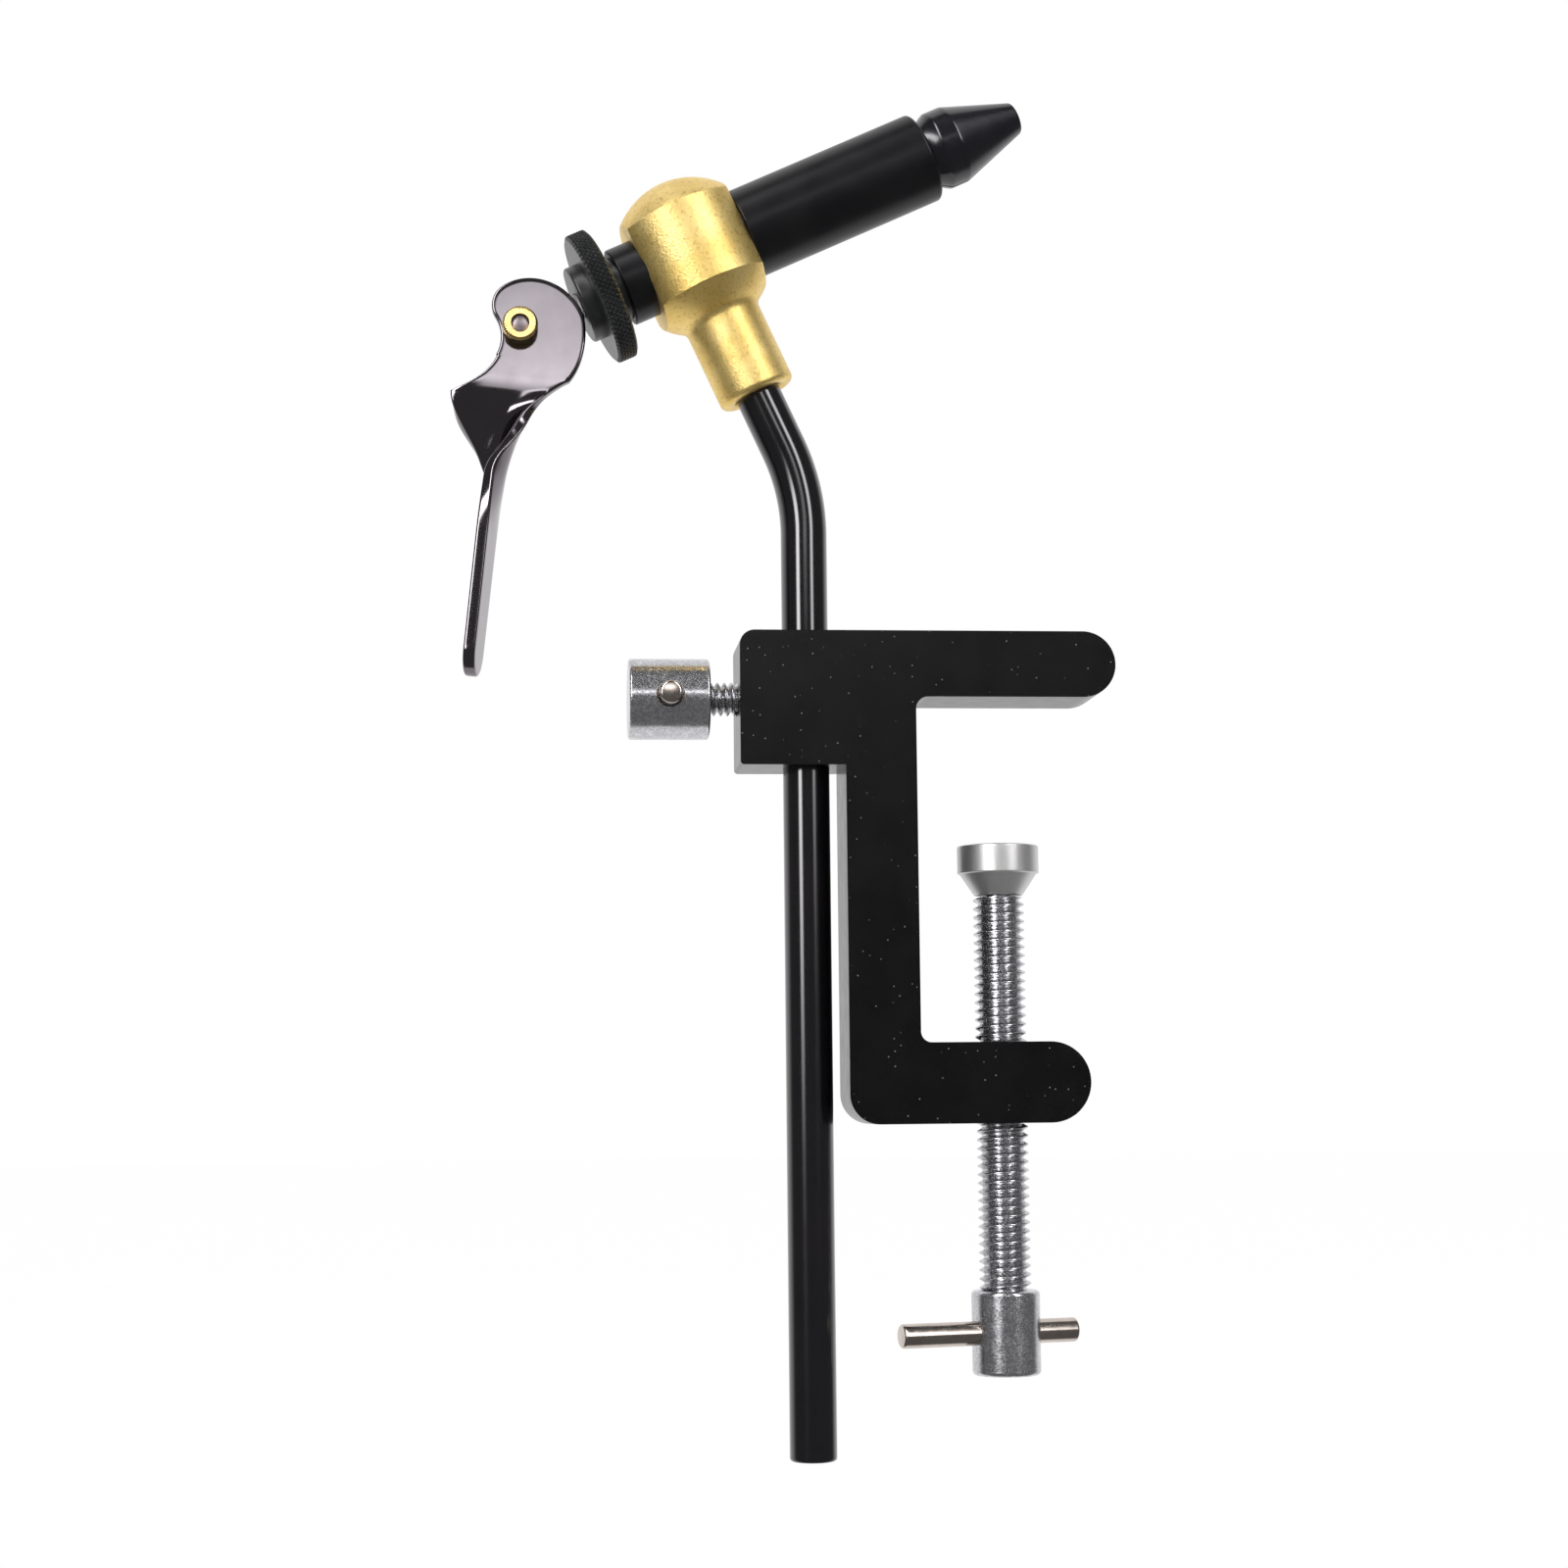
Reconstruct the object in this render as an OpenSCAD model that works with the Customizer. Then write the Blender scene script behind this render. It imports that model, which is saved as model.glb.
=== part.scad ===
// Clamp-on fly tying vise. Millimetres, +Z up.
// The origin is on the underside of the upper arm, on the clamp screw's axis.
// +X runs along the arms, away from the stem, and +Y runs away from the viewer.

/* [Clamp frame] */
// Thickness of the frame bar, across the arms
frame_t = 16; // [12:0.5:24]
// Height of the upper arm
arm_t = 12.4; // [9:0.2:18]
// From the clamp screw's axis to the tip of the upper arm
arm_reach = 21.6; // [16:0.2:40]
// From the clamp screw's axis back to the spine
throat_depth = 16.1; // [13:0.1:30]
// Height of the throat between the arms
throat_h = 63.85; // [50:0.05:80]
// Width of the spine
spine_w = 13.2; // [9:0.2:20]
// Height of the lower arm
lower_arm_t = 14.85; // [11:0.05:20]
// From the clamp screw's axis to the tip of the lower arm
lower_reach = 15.3; // [12:0.1:30]
// From the clamp screw's axis back to the stem's axis
stem_offset = 35.9; // [35:0.1:42]
// From the stem's axis to the outer end of the stem block
block_edge = 12.9; // [9:0.1:20]
// How far the stem block reaches below the upper arm's underside
block_drop = 12.7; // [9:0.1:20]
// Fillet between the upper arm and the spine
arm_fillet = 2.3; // [1:0.1:4]
// Fillet between the lower arm and the spine
lower_fillet = 2; // [1:0.1:4]
// Rounding of the heel below the spine
heel_r = 5.5; // [2:0.1:7]
// Rounding of the stem block's upper corner
shoulder_r = 2.8; // [1:0.1:5]
// Rounding of the stem block's lower corner
block_corner_r = 0.7; // [0.3:0.1:3]

/* [Clamp screw] */
// Major diameter of the clamp screw's thread
clamp_thread_d = 9.525; // [7:0.005:10]
// Pitch of the clamp screw's thread
clamp_pitch = 1.5875; // [1:0.0125:2]
// Depth of the clamp screw's thread
clamp_thread_depth = 0.9; // [0.5:0.05:1.1]
// Length of the clamp screw's thread
clamp_thread_l = 72.4; // [60:0.1:90]
// Height of the screw's cylindrical head
clamp_head_h = 15.4; // [10:0.1:22]
// Diameter of the screw's cylindrical head
clamp_head_d = 12.6; // [11:0.1:18]
// Diameter of the cross bar in the screw's head
clamp_bar_d = 4.45; // [3:0.05:6]
// Length of the cross bar in the screw's head
clamp_bar_l = 35; // [24:0.5:60]
// How far the cross bar is pushed to one side
clamp_bar_shift = 3.4; // [0:0.1:5]
// Turn of the cross bar about the screw's axis, in degrees
clamp_bar_turn = 15; // [-90:1:90]

/* [Clamp pad] */
// From the arm's underside down to the pad's face, at rest
pad_gap = 27.2; // [15:0.1:28]
// Diameter of the pad
pad_d = 15.2; // [12:0.1:22]
// Height of the pad's rim
pad_rim_h = 5.2; // [3:0.1:6]
// Height of the pad's conical underside
pad_cone_h = 4.1; // [3:0.1:6]
// Diameter of the pad's lower end
pad_foot_d = 9; // [8.6:0.1:11]

/* [Stem] */
// Diameter of the stem
stem_d = 8.7; // [7:0.05:10]
// From the arm's underside down to the stem's lower end
stem_drop = 139.5; // [60:0.5:200]
// Height of the corner that the stem's two straight axes make
bend_z = 40.5; // [35:0.1:70]
// Radius of the stem's bend, at its middle
bend_r = 40; // [20:0.5:60]
// Lean of the stem's upper leg, in degrees; the barrel rises by the same angle
head_tilt = 24.7; // [10:0.1:40]
// From the stem's corner to the barrel's axis
head_rise = 49.3; // [42:0.1:70]

/* [Lock screw] */
// Major diameter of the lock screw's thread
lock_thread_d = 6.35; // [4:0.05:8]
// Pitch of the lock screw's thread
lock_pitch = 1.27; // [0.7:0.01:1.5]
// Depth of the lock screw's thread
lock_thread_depth = 0.7; // [0.4:0.05:0.9]
// Diameter of the lock screw's cylindrical head
lock_head_d = 15.1; // [11:0.1:20]
// Length of the lock screw's cylindrical head
lock_head_l = 15; // [10:0.1:20]
// From the stem block to the lock screw's head
lock_gap = 5.3; // [2:0.1:9]
// Height of the lock screw's axis above the arm's underside
lock_z = 0.4; // [-3:0.1:3]
// Diameter of the lock screw's cross bar
lock_bar_d = 4.35; // [3:0.05:5]
// Length of the lock screw's cross bar
lock_bar_l = 22; // [18:0.5:40]

/* [Head] */
// Diameter of the head's ball
ball_d = 29.8; // [29:0.1:34]
// Diameter of the turned band round the ball
band_d = 25.2; // [24.5:0.1:28]
// Distance between the flats on which the barrel seats
flats_w = 20.6; // [17:0.1:23]
// Diameter of the neck
neck_d = 14.8; // [13:0.1:17]
// From the barrel's axis to the lower end of the neck
neck_drop = 29.4; // [26:0.1:36]
// How far the stem's end stays below the barrel's axis
stem_stop = 12.5; // [11:0.1:16]
// Fillet between the ball and the neck
neck_fillet = 2; // [1:0.1:3]
// Rounding of the neck's lower edge
neck_edge = 1.2; // [0.5:0.1:2]
// Diameter of the set screw that holds the barrel
set_screw_d = 4; // [3:0.1:5]
// Length of the set screw that holds the barrel
set_screw_l = 3.4; // [2.5:0.1:4]
// Diameter of the pin that holds the stem
stem_pin_d = 2.5; // [1.5:0.1:3]

/* [Barrel] */
// Diameter of the barrel in front of the head
barrel_d = 17.3; // [16:0.1:20]
// Diameter of the barrel inside and behind the head
barrel_rear_d = 15; // [14:0.1:15.6]
// From the head's centre to the barrel's mouth
barrel_front = 49.05; // [42:0.05:60]
// From the head's centre back to the barrel's rear end
barrel_rear = 15.15; // [13:0.05:18]
// Bore for the collet
collet_bore = 11.5; // [9.6:0.1:12.5]
// Bore for the adjusting nut's thread
nut_bore = 12.1; // [10:0.1:12.6]
// Depth of the adjusting nut's bore
nut_bore_depth = 13; // [9:0.1:14]
// Thickness of the wall between the two bores
barrel_web = 3; // [2:0.1:4]

/* [Collet and draw rod] */
// Diameter of the collet's jaws at their widest
jaw_d = 15.2; // [14:0.1:17]
// Diameter of the jaws' tip
jaw_tip_d = 6; // [3:0.1:8]
// From the barrel's mouth to the jaws' tip
jaw_reach = 19.85; // [14:0.05:30]
// Length of the cone in front of the jaws' widest part
jaw_cone_l = 13.6; // [9:0.1:14]
// Length of the seat cone behind the jaws' widest part, outside the barrel
jaw_seat_l = 2.85; // [1.5:0.05:4]
// Diameter of the seat cone at the barrel's mouth
jaw_seat_d = 12; // [11.6:0.1:12.6]
// Width of the slot between the jaws
jaw_slot = 0.5; // [0.3:0.05:1]
// From the barrel's mouth back to the collet's rear end
collet_depth = 31; // [24:0.5:34]
// Diameter of the draw rod
rod_d = 4.8; // [4:0.1:5.5]
// Diameter of the return spring's wire
spring_wire = 0.9; // [0.6:0.05:1.1]
// Number of curls in the return spring
spring_curls = 8; // [5:1:9]

/* [Adjusting nut] */
// Diameter of the knurled ring
knurl_d = 25.6; // [20:0.1:30]
// Width of the knurled ring
knurl_w = 4.1; // [3:0.1:8]
// Gap between the barrel's rear end and the knurled ring
knurl_gap = 2; // [1.2:0.1:4]
// Diameter of the hub that the cam presses on
hub_d = 14.8; // [11:0.1:18]
// Length of the hub behind the knurled ring
hub_l = 2.5; // [1.5:0.1:5]
// How far the nut's threaded boss reaches into the barrel
boss_l = 7; // [5:0.1:9]

/* [Cam lever] */
// Thickness of the lever plate
lever_t = 2.3; // [1.5:0.1:2.5]
// From the pivot to the nut's hub, with the jaws closed
cam_reach = 12.2; // [11.5:0.1:14]
// How far the cam lets the collet forward for each radian of its turn
cam_lift = 1.93; // [1:0.01:2.4]
// Half the width of the handle where it leaves the cam plate
handle_half_top = 5.8; // [5:0.1:7]
// Half the width of the handle at its end
handle_half_end = 4.8; // [4:0.1:6]
// Length of the handle along its middle, from beside the pivot
handle_l = 68.4; // [50:0.2:80]
// Twist of the handle, in degrees
handle_twist = 99; // [85:0.5:105]
// Diameter of the pivot screw
pivot_d = 3.2; // [2.5:0.1:4]
// Diameter of the brass nut
lever_nut_d = 6.7; // [6:0.1:9]
// Height of the brass nut
lever_nut_h = 3.5; // [2.5:0.1:5]

/* [Hidden] */
$fn = 64;
// Overrun of a cut past the face that it opens
over = 1;
// Radial clearance of a shaft that turns or slides in its bore
run_gap = 0.05;
// Radial clearance of a piece that is held fast in its seat
seat_gap = 0.02;
// Gap between flat faces that slide past each other
face_gap = 0.1;

// Places along the arms and the spine
stem_x = -stem_offset;
block_x = stem_x - block_edge;
spine_in = -throat_depth;
spine_out = spine_in - spine_w;
throat_z = -throat_h;
foot_z = throat_z - lower_arm_t;
arm_tip_x = arm_reach - arm_t / 2;
lower_tip_x = lower_reach - lower_arm_t / 2;

// Heights on the clamp screw, with the play between the pad and the thread
pad_play = 0.4;
pad_rim_z = -pad_gap - pad_rim_h;
pad_foot_z = pad_rim_z - pad_cone_h;
clamp_thread_z = pad_foot_z - pad_play;
clamp_head_z = clamp_thread_z - clamp_thread_l;
clamp_foot_z = clamp_head_z - clamp_head_h;
// The screw's neck inside the pad, and the wire ring that keeps the pad on it
pad_edge = 0.4;
pad_wall = 2.5;
neck_pin_d = 5.5;
ring_wire = 0.8;
ring_d = 5.5;
ring_open = 40;
ring_z = -pad_gap - pad_rim_h;
ring_groove_d = ring_d - ring_wire - 2 * face_gap;
ring_seat_d = ring_d + ring_wire + 2 * seat_gap;
ring_seat_h = ring_wire + 2 * face_gap;
screw_edge = 0.8;
bar_edge = 0.4;

// Shares of a thread's pitch taken by its crest and by its root
crest_share = 0.14;
root_share = 0.14;

// The lock screw, from the stem out to its head
lock_tip_x = stem_x - stem_d / 2 - face_gap;
lock_head_x = block_x - lock_gap;
lock_bar_x = lock_head_x - lock_head_l / 2;
lock_edge = 0.5;
lock_dish_depth = 0.5;

// The stem's bend, which turns about a centre on its left
bend_tangent = bend_r * tan(head_tilt / 2);
bend_low_z = bend_z - bend_tangent;
stem_edge = 0.7;

// Centre of the head, on the barrel's axis
head_x = stem_x - head_rise * sin(head_tilt);
head_z = bend_z + head_rise * cos(head_tilt);
band_h = 2 * sqrt(pow(ball_d / 2, 2) - pow(band_d / 2, 2));
fillet_rho = neck_d / 2 + neck_fillet;
fillet_z = -sqrt(pow(ball_d / 2 + neck_fillet, 2) - pow(fillet_rho, 2));
fillet_touch = (ball_d / 2) / (ball_d / 2 + neck_fillet);
stem_pin_z = -(neck_drop + stem_stop) / 2;
stem_pin_l = neck_d / 2 + stem_d / 4;
stem_pin_sink = 0.3;

// The groove round the barrel that the friction pad sits in
pad_slug_d = 3.6;
slug_l = 1.5;
groove_depth = 0.4;
groove_w = pad_slug_d + 4 * face_gap;
slug_y = barrel_rear_d / 2 - groove_depth + run_gap;
hex_w = 2;
hex_depth = 1.8;

// Places along the barrel's axis, counted from the head's centre
web_a = nut_bore_depth - barrel_rear;
web_top_a = web_a + barrel_web;
mouth_flare = 1;
mouth_flare_w = 0.5;
barrel_edge = 0.8;
shank_d = collet_bore - 2 * run_gap;
jaw_tip_a = barrel_front + jaw_reach;
jaw_wide_a = barrel_front + jaw_seat_l;
jaw_cone_a = jaw_tip_a - jaw_cone_l;
jaw_tip_edge = 0.5;
collet_a = barrel_front - collet_depth;
seat_slope = (jaw_d - jaw_seat_d) / 2 / jaw_seat_l;
seat_in_a = barrel_front - (jaw_seat_d - shank_d) / 2 / seat_slope;
slot_back = 8;
slot_eye_d = 2;
rod_thread_l = 6;
rod_play = 0.5;

// The return spring, between the barrel's web and the collet
spring_r = 4.2;
spring_low_a = web_top_a + spring_wire / 2;
spring_high_a = collet_a - spring_wire / 2;
spring_rings = 8;
spring_sides = 6;

// The adjusting nut and the pivot behind it
ring_front_a = -barrel_rear - knurl_gap;
ring_back_a = ring_front_a - knurl_w;
hub_a = ring_back_a - hub_l;
boss_d = nut_bore - 2 * run_gap;
knurl_edge = 0.5;
pivot_a = hub_a - cam_reach;
rod_flat_a = hub_a + rod_play;
eye_d = 7.2;
eye_t = rod_d / 2;

// The cam: a dwell, a short blend, and a fall that lets the collet forward evenly
cam_gap = 0.15;
cam_blend = 13.8;
cam_dwell_end = -38;
// Past the dwell the edge spreads outwards to meet the handle
spread_rate = 0.038;
spread_start = 4;
spread_blend = 20;
cam_fall_end = 125;
cam_r = cam_reach - cam_gap;
cam_rate = cam_lift * PI / 180;
dwell_r = cam_r + cam_rate * cam_blend / 2;
cam_steps = 40;
// The lobe that closes the cam, and the finger notch below it
lobe_r = 4.5;
lobe_turn = 86.3;
notch_x = -10.7;
notch_z = -1.5;
notch_end = -28;
arc_steps = 10;

// The line that the handle's middle follows, in the plane of the cam plate
line_x = 2;
line_z = 0.75;
lean_top = 47.4;
lean_end = 6.1;
lean_l = 11.6;
// Where the plate stops being flat, and how far back the handle then bends
flat_l = 11;
jog = 0.4;
jog_l = 14;
// The shoulder's tip curls back beyond a width
curl = 1.2;
curl_start = 3.6;
curl_rise = 5;
curl_fade = 10;
// The handle's twist along that line; its front edge leads and its middle bulges
twist_start_l = 14.8;
twist_l = 18.2;
twist_lead = 3.8;
twist_soft_share = 0.25;
bulge = 2;
bulge_start = 14;
bulge_rise = 22.4;
bulge_fall = 20;
// Half widths beside the finger notch, and the shoulder that widens to the left corner
neck_left = 1.9;
neck_right = 12.3;
neck_right_l = 9;
shoulder_start = 7.3;
shoulder_end = 15.1;
shoulder_left = 9.4;
shoulder_fade = 12;
shoulder_power = 1.9;
flat_steps = 5;
root_inset = 0.6;
lean_steps = 12;
handle_steps = 30;
end_steps = 7;
end_turn = 86;
side_steps = 8;

// Behind the plate: the plane of its back, and the pivot screw's head
lever_y = -face_gap - lever_t / 2;
nut_y = -lever_t - 2 * face_gap;
screw_head_d = 6.2;
screw_head_h = 1.8;
screw_slot_w = 0.9;
screw_slot_h = 0.8;
screw_end = 0.3;
nut_edge = 0.35;
screw_l = eye_t - nut_y + lever_nut_h + screw_end;

// A square corner less the round that fits it; the corner points to minus x and minus y
module corner(r) {
  difference() {
    translate([-over, -over]) square(r + over);
    translate([r, r]) circle(r);
  }
}

// A turned rod that stands on z = 0, with its two outer edges rounded
module rounded_rod(d, h, low_r, high_r) {
  rotate_extrude() difference() {
    square([d / 2, h]);
    translate([d / 2, 0]) mirror([1, 0]) corner(low_r);
    translate([d / 2, h]) mirror([1, 0]) mirror([0, 1]) corner(high_r);
  }
}

// A rod with a ridge for each turn of its thread, from z = 0 to z = length
module threaded_rod(d, pitch, depth, length) {
  ridges = floor(length / pitch);
  lead = (length - ridges * pitch) / 2;
  root_r = d / 2 - depth;
  flank = (1 - crest_share - root_share) / 2 * pitch;
  crest = crest_share * pitch;
  root = root_share * pitch / 2;
  rotate_extrude() polygon(concat(
    [[0, 0], [root_r, 0]],
    [for (i = [0 : ridges - 1]) each [
      [root_r, lead + i * pitch + root],
      [d / 2, lead + i * pitch + root + flank],
      [d / 2, lead + i * pitch + root + flank + crest],
      [root_r, lead + (i + 1) * pitch - root]
    ]],
    [[root_r, length], [0, length]]
  ));
}

// Moves what stands at the origin to the head's centre, +X along the barrel
module at_head() {
  translate([head_x, 0, head_z]) rotate([0, -head_tilt, 0]) children();
}

// Moves what is turned about Z onto the barrel's axis, with +Z towards the jaws
module along_barrel() {
  at_head() rotate([0, 90, 0]) children();
}

// Moves what is drawn round the origin, in level directions, to the lever's pivot
module at_pivot() {
  translate([head_x + pivot_a * cos(head_tilt), 0, head_z + pivot_a * sin(head_tilt)]) children();
}

// The frame's outline, seen from the front
module frame_outline() {
  difference() {
    union() {
      translate([block_x, 0]) square([arm_tip_x - block_x, arm_t]);
      translate([arm_tip_x, arm_t / 2]) circle(d = arm_t);
      translate([block_x, -block_drop]) square([spine_in - block_x, block_drop + arm_t]);
      translate([spine_out, foot_z]) square([spine_w, arm_t - foot_z]);
      translate([spine_out, foot_z]) square([lower_tip_x - spine_out, lower_arm_t]);
      translate([lower_tip_x, foot_z + lower_arm_t / 2]) circle(d = lower_arm_t);
      translate([spine_in, 0]) mirror([0, 1]) corner(arm_fillet);
      translate([spine_in, throat_z]) corner(lower_fillet);
    }
    translate([block_x, arm_t]) mirror([0, 1]) corner(shoulder_r);
    translate([block_x, -block_drop]) corner(block_corner_r);
    translate([spine_out, foot_z]) corner(heel_r);
  }
}

// C-shaped bar with the stem's bore and the two screws' holes
module clamp_frame() {
  color("#1b1b1d") difference() {
    rotate([90, 0, 0]) linear_extrude(frame_t, center = true) frame_outline();
    translate([stem_x, 0, -block_drop - over])
      cylinder(d = stem_d + 2 * run_gap, h = block_drop + arm_t + 2 * over);
    translate([block_x - over, 0, lock_z]) rotate([0, 90, 0])
      cylinder(d = lock_thread_d + 2 * run_gap, h = block_edge + over);
    translate([0, 0, foot_z - over])
      cylinder(d = clamp_thread_d + 2 * run_gap, h = lower_arm_t + 2 * over);
  }
}

// Screw with a turned neck for the pad and a drilled cylinder for a head
module clamp_screw() {
  color("silver") difference() {
    union() {
      translate([0, 0, clamp_head_z])
        threaded_rod(clamp_thread_d, clamp_pitch, clamp_thread_depth, clamp_thread_l);
      translate([0, 0, clamp_foot_z])
        rounded_rod(clamp_head_d, clamp_head_h, screw_edge, screw_edge);
      translate([0, 0, clamp_thread_z - over])
        cylinder(d = neck_pin_d, h = over - clamp_thread_z - pad_gap - pad_wall - face_gap);
    }
    translate([0, 0, ring_z - ring_seat_h / 2]) difference() {
      cylinder(d = neck_pin_d + 2 * over, h = ring_seat_h);
      cylinder(d = ring_groove_d, h = ring_seat_h);
    }
    translate([0, 0, clamp_foot_z + clamp_head_h / 2]) rotate([0, 0, clamp_bar_turn])
      rotate([0, 90, 0])
        cylinder(d = clamp_bar_d + 2 * seat_gap, h = clamp_head_d + 2 * over, center = true);
  }
}

// Plain bar through the clamp screw's head
module clamp_screw_bar() {
  color("gainsboro")
    translate([0, 0, clamp_foot_z + clamp_head_h / 2]) rotate([0, 0, clamp_bar_turn])
      translate([-clamp_bar_l / 2 - clamp_bar_shift, 0, 0]) rotate([0, 90, 0])
        rounded_rod(clamp_bar_d, clamp_bar_l, bar_edge, bar_edge);
}

// Pad that swivels on the screw's neck
module clamp_pad() {
  color("silver") difference() {
    union() {
      translate([0, 0, pad_rim_z]) rounded_rod(pad_d, pad_rim_h, pad_edge, pad_edge);
      translate([0, 0, pad_foot_z])
        cylinder(d1 = pad_foot_d, d2 = pad_d - 2 * pad_edge, h = pad_cone_h);
    }
    translate([0, 0, pad_foot_z - over])
      cylinder(d = neck_pin_d + 2 * run_gap, h = over - pad_foot_z - pad_gap - pad_wall);
    translate([0, 0, ring_z - ring_seat_h / 2]) cylinder(d = ring_seat_d, h = ring_seat_h);
  }
}

// Open wire ring, half in the pad and half round the screw's neck
module pad_ring() {
  color("dimgray") translate([0, 0, ring_z])
    rotate_extrude(angle = 360 - ring_open) translate([ring_d / 2, 0]) circle(d = ring_wire);
}

// Bent rod, straight below and above its bend
module stem() {
  color("#101012") difference() {
    union() {
      translate([stem_x, 0, -stem_drop])
        rounded_rod(stem_d, bend_low_z + stem_drop, stem_edge, 0);
      translate([stem_x - bend_r, 0, bend_low_z]) rotate([90, 0, 0])
        rotate_extrude(angle = head_tilt) translate([bend_r, 0]) circle(d = stem_d);
      at_head() translate([0, 0, bend_tangent - head_rise])
        cylinder(d = stem_d, h = head_rise - bend_tangent - stem_stop);
      at_head() translate([0, 0, bend_tangent - head_rise]) sphere(d = stem_d / 2);
      translate([stem_x, 0, bend_low_z]) sphere(d = stem_d / 2);
    }
    at_head() stem_pin_hole();
  }
}

// The stem pin's hole, from the back of the neck into the stem
module stem_pin_hole() {
  translate([0, neck_d / 2 - stem_pin_l, stem_pin_z]) rotate([-90, 0, 0])
    cylinder(d = stem_pin_d + 2 * seat_gap, h = stem_pin_l + over);
}

// Screw that holds the stem, with a drilled cylinder for a head
module lock_screw() {
  color("silver") difference() {
    union() {
      translate([lock_head_x, 0, lock_z]) rotate([0, 90, 0])
        threaded_rod(lock_thread_d, lock_pitch, lock_thread_depth, lock_tip_x - lock_head_x);
      translate([lock_head_x - lock_head_l, 0, lock_z]) rotate([0, 90, 0])
        rounded_rod(lock_head_d, lock_head_l, lock_edge, lock_edge);
    }
    translate([lock_bar_x, 0, lock_z]) rotate([90, 0, 0])
      cylinder(d = lock_bar_d + 2 * seat_gap, h = lock_head_d + 2 * over, center = true);
    for (side = [0, 180])
      translate([lock_bar_x, 0, lock_z]) rotate([90 + side, 0, 0])
        translate([0, 0, lock_head_d / 2 - lock_dish_depth])
          cylinder(d1 = lock_bar_d, d2 = lock_bar_d + 2 * (lock_dish_depth + over), h = lock_dish_depth + over);
  }
}

// Plain bar through the lock screw's head
module lock_screw_bar() {
  color("gainsboro")
    translate([lock_bar_x, lock_bar_l / 2, lock_z]) rotate([90, 0, 0])
      rounded_rod(lock_bar_d, lock_bar_l, bar_edge, bar_edge);
}

// Ball with a turned band, two flats and a neck
module head() {
  color("goldenrod") at_head() difference() {
    union() {
      intersection() {
        difference() {
          sphere(d = ball_d);
          difference() {
            cylinder(d = ball_d + 2 * over, h = band_h, center = true);
            cylinder(d = band_d, h = band_h + 2 * over, center = true);
          }
        }
        cube([flats_w, ball_d + 2 * over, ball_d + 2 * over], center = true);
      }
      translate([0, 0, -neck_drop])
        rounded_rod(neck_d, neck_drop, neck_edge, 0);
      rotate_extrude() difference() {
        polygon([
          [neck_d / 2 - over, fillet_z],
          [fillet_rho, fillet_z],
          [fillet_rho * fillet_touch, fillet_z * fillet_touch],
          [neck_d / 2 - over, fillet_z * fillet_touch + over]
        ]);
        translate([fillet_rho, fillet_z]) circle(neck_fillet);
      }
    }
    rotate([0, 90, 0])
      cylinder(d = barrel_rear_d + 2 * run_gap, h = flats_w + 2 * over, center = true);
    translate([0, 0, -neck_drop - over])
      cylinder(d = stem_d + 2 * seat_gap, h = neck_drop - stem_stop + over);
    rotate([-90, 0, 0]) cylinder(d = set_screw_d + 2 * seat_gap, h = ball_d);
    stem_pin_hole();
  }
}

// Pin through the back of the neck
module stem_pin() {
  color("dimgray") at_head() translate([0, neck_d / 2 - stem_pin_l + face_gap, stem_pin_z])
    rotate([-90, 0, 0])
      rounded_rod(stem_pin_d, stem_pin_l - stem_pin_sink, bar_edge, bar_edge);
}

// Socket screw in the back of the head
module head_set_screw() {
  color("dimgray") at_head() translate([0, slug_y + slug_l, 0]) rotate([-90, 0, 0])
    difference() {
      rounded_rod(set_screw_d, set_screw_l, bar_edge, bar_edge);
      translate([0, 0, set_screw_l - hex_depth])
        cylinder(d = hex_w / cos(30), h = hex_depth + over, $fn = 6);
    }
}

// Slug between the set screw and the barrel
module friction_pad() {
  color("ivory") at_head() translate([0, slug_y, 0]) rotate([-90, 0, 0])
    cylinder(d = pad_slug_d, h = slug_l);
}

// Stepped tube with a bore for the collet and one for the nut
module barrel() {
  color("#1d1d1f") along_barrel() difference() {
    union() {
      translate([0, 0, flats_w / 2 + face_gap])
        rounded_rod(barrel_d, barrel_front - flats_w / 2 - face_gap, bar_edge, barrel_edge);
      translate([0, 0, -barrel_rear])
        rounded_rod(barrel_rear_d, barrel_rear + flats_w / 2 + over, bar_edge, 0);
    }
    translate([0, 0, web_top_a]) cylinder(d = collet_bore, h = barrel_front - web_top_a + over);
    translate([0, 0, barrel_front - mouth_flare])
      cylinder(d1 = collet_bore, d2 = collet_bore + 4 * mouth_flare_w, h = 2 * mouth_flare);
    translate([0, 0, -barrel_rear - over]) cylinder(d = nut_bore, h = nut_bore_depth + over);
    translate([0, 0, web_a - over]) cylinder(d = rod_d + 2 * run_gap, h = barrel_web + 2 * over);
    translate([0, 0, -groove_w / 2]) difference() {
      cylinder(d = barrel_rear_d + 2 * over, h = groove_w);
      cylinder(d = barrel_rear_d - 2 * groove_depth, h = groove_w);
    }
  }
}

// A ring of the spring's tube, at a given share of its length
function spring_ring(share) =
  let (turn = 360 * spring_curls * share, a = spring_low_a + (spring_high_a - spring_low_a) * share)
  [for (k = [0 : spring_sides - 1])
    let (r = spring_r + spring_wire / 2 * cos(360 * k / spring_sides))
    [r * cos(turn), r * sin(turn), a + spring_wire / 2 * sin(360 * k / spring_sides)]];

spring_pitch = (spring_high_a - spring_low_a) / spring_curls;
echo(spring_gap = spring_pitch - spring_wire);

// Compression spring round the draw rod
module return_spring() {
  rings = spring_curls * spring_rings;
  points = [for (i = [0 : rings]) each spring_ring(i / rings)];
  color("dimgray") along_barrel() polyhedron(points = points, faces = tube_faces(rings, spring_sides));
}

// Number of gaps between the places in a list
function gaps_in(places) = len(places) - 1;

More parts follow.
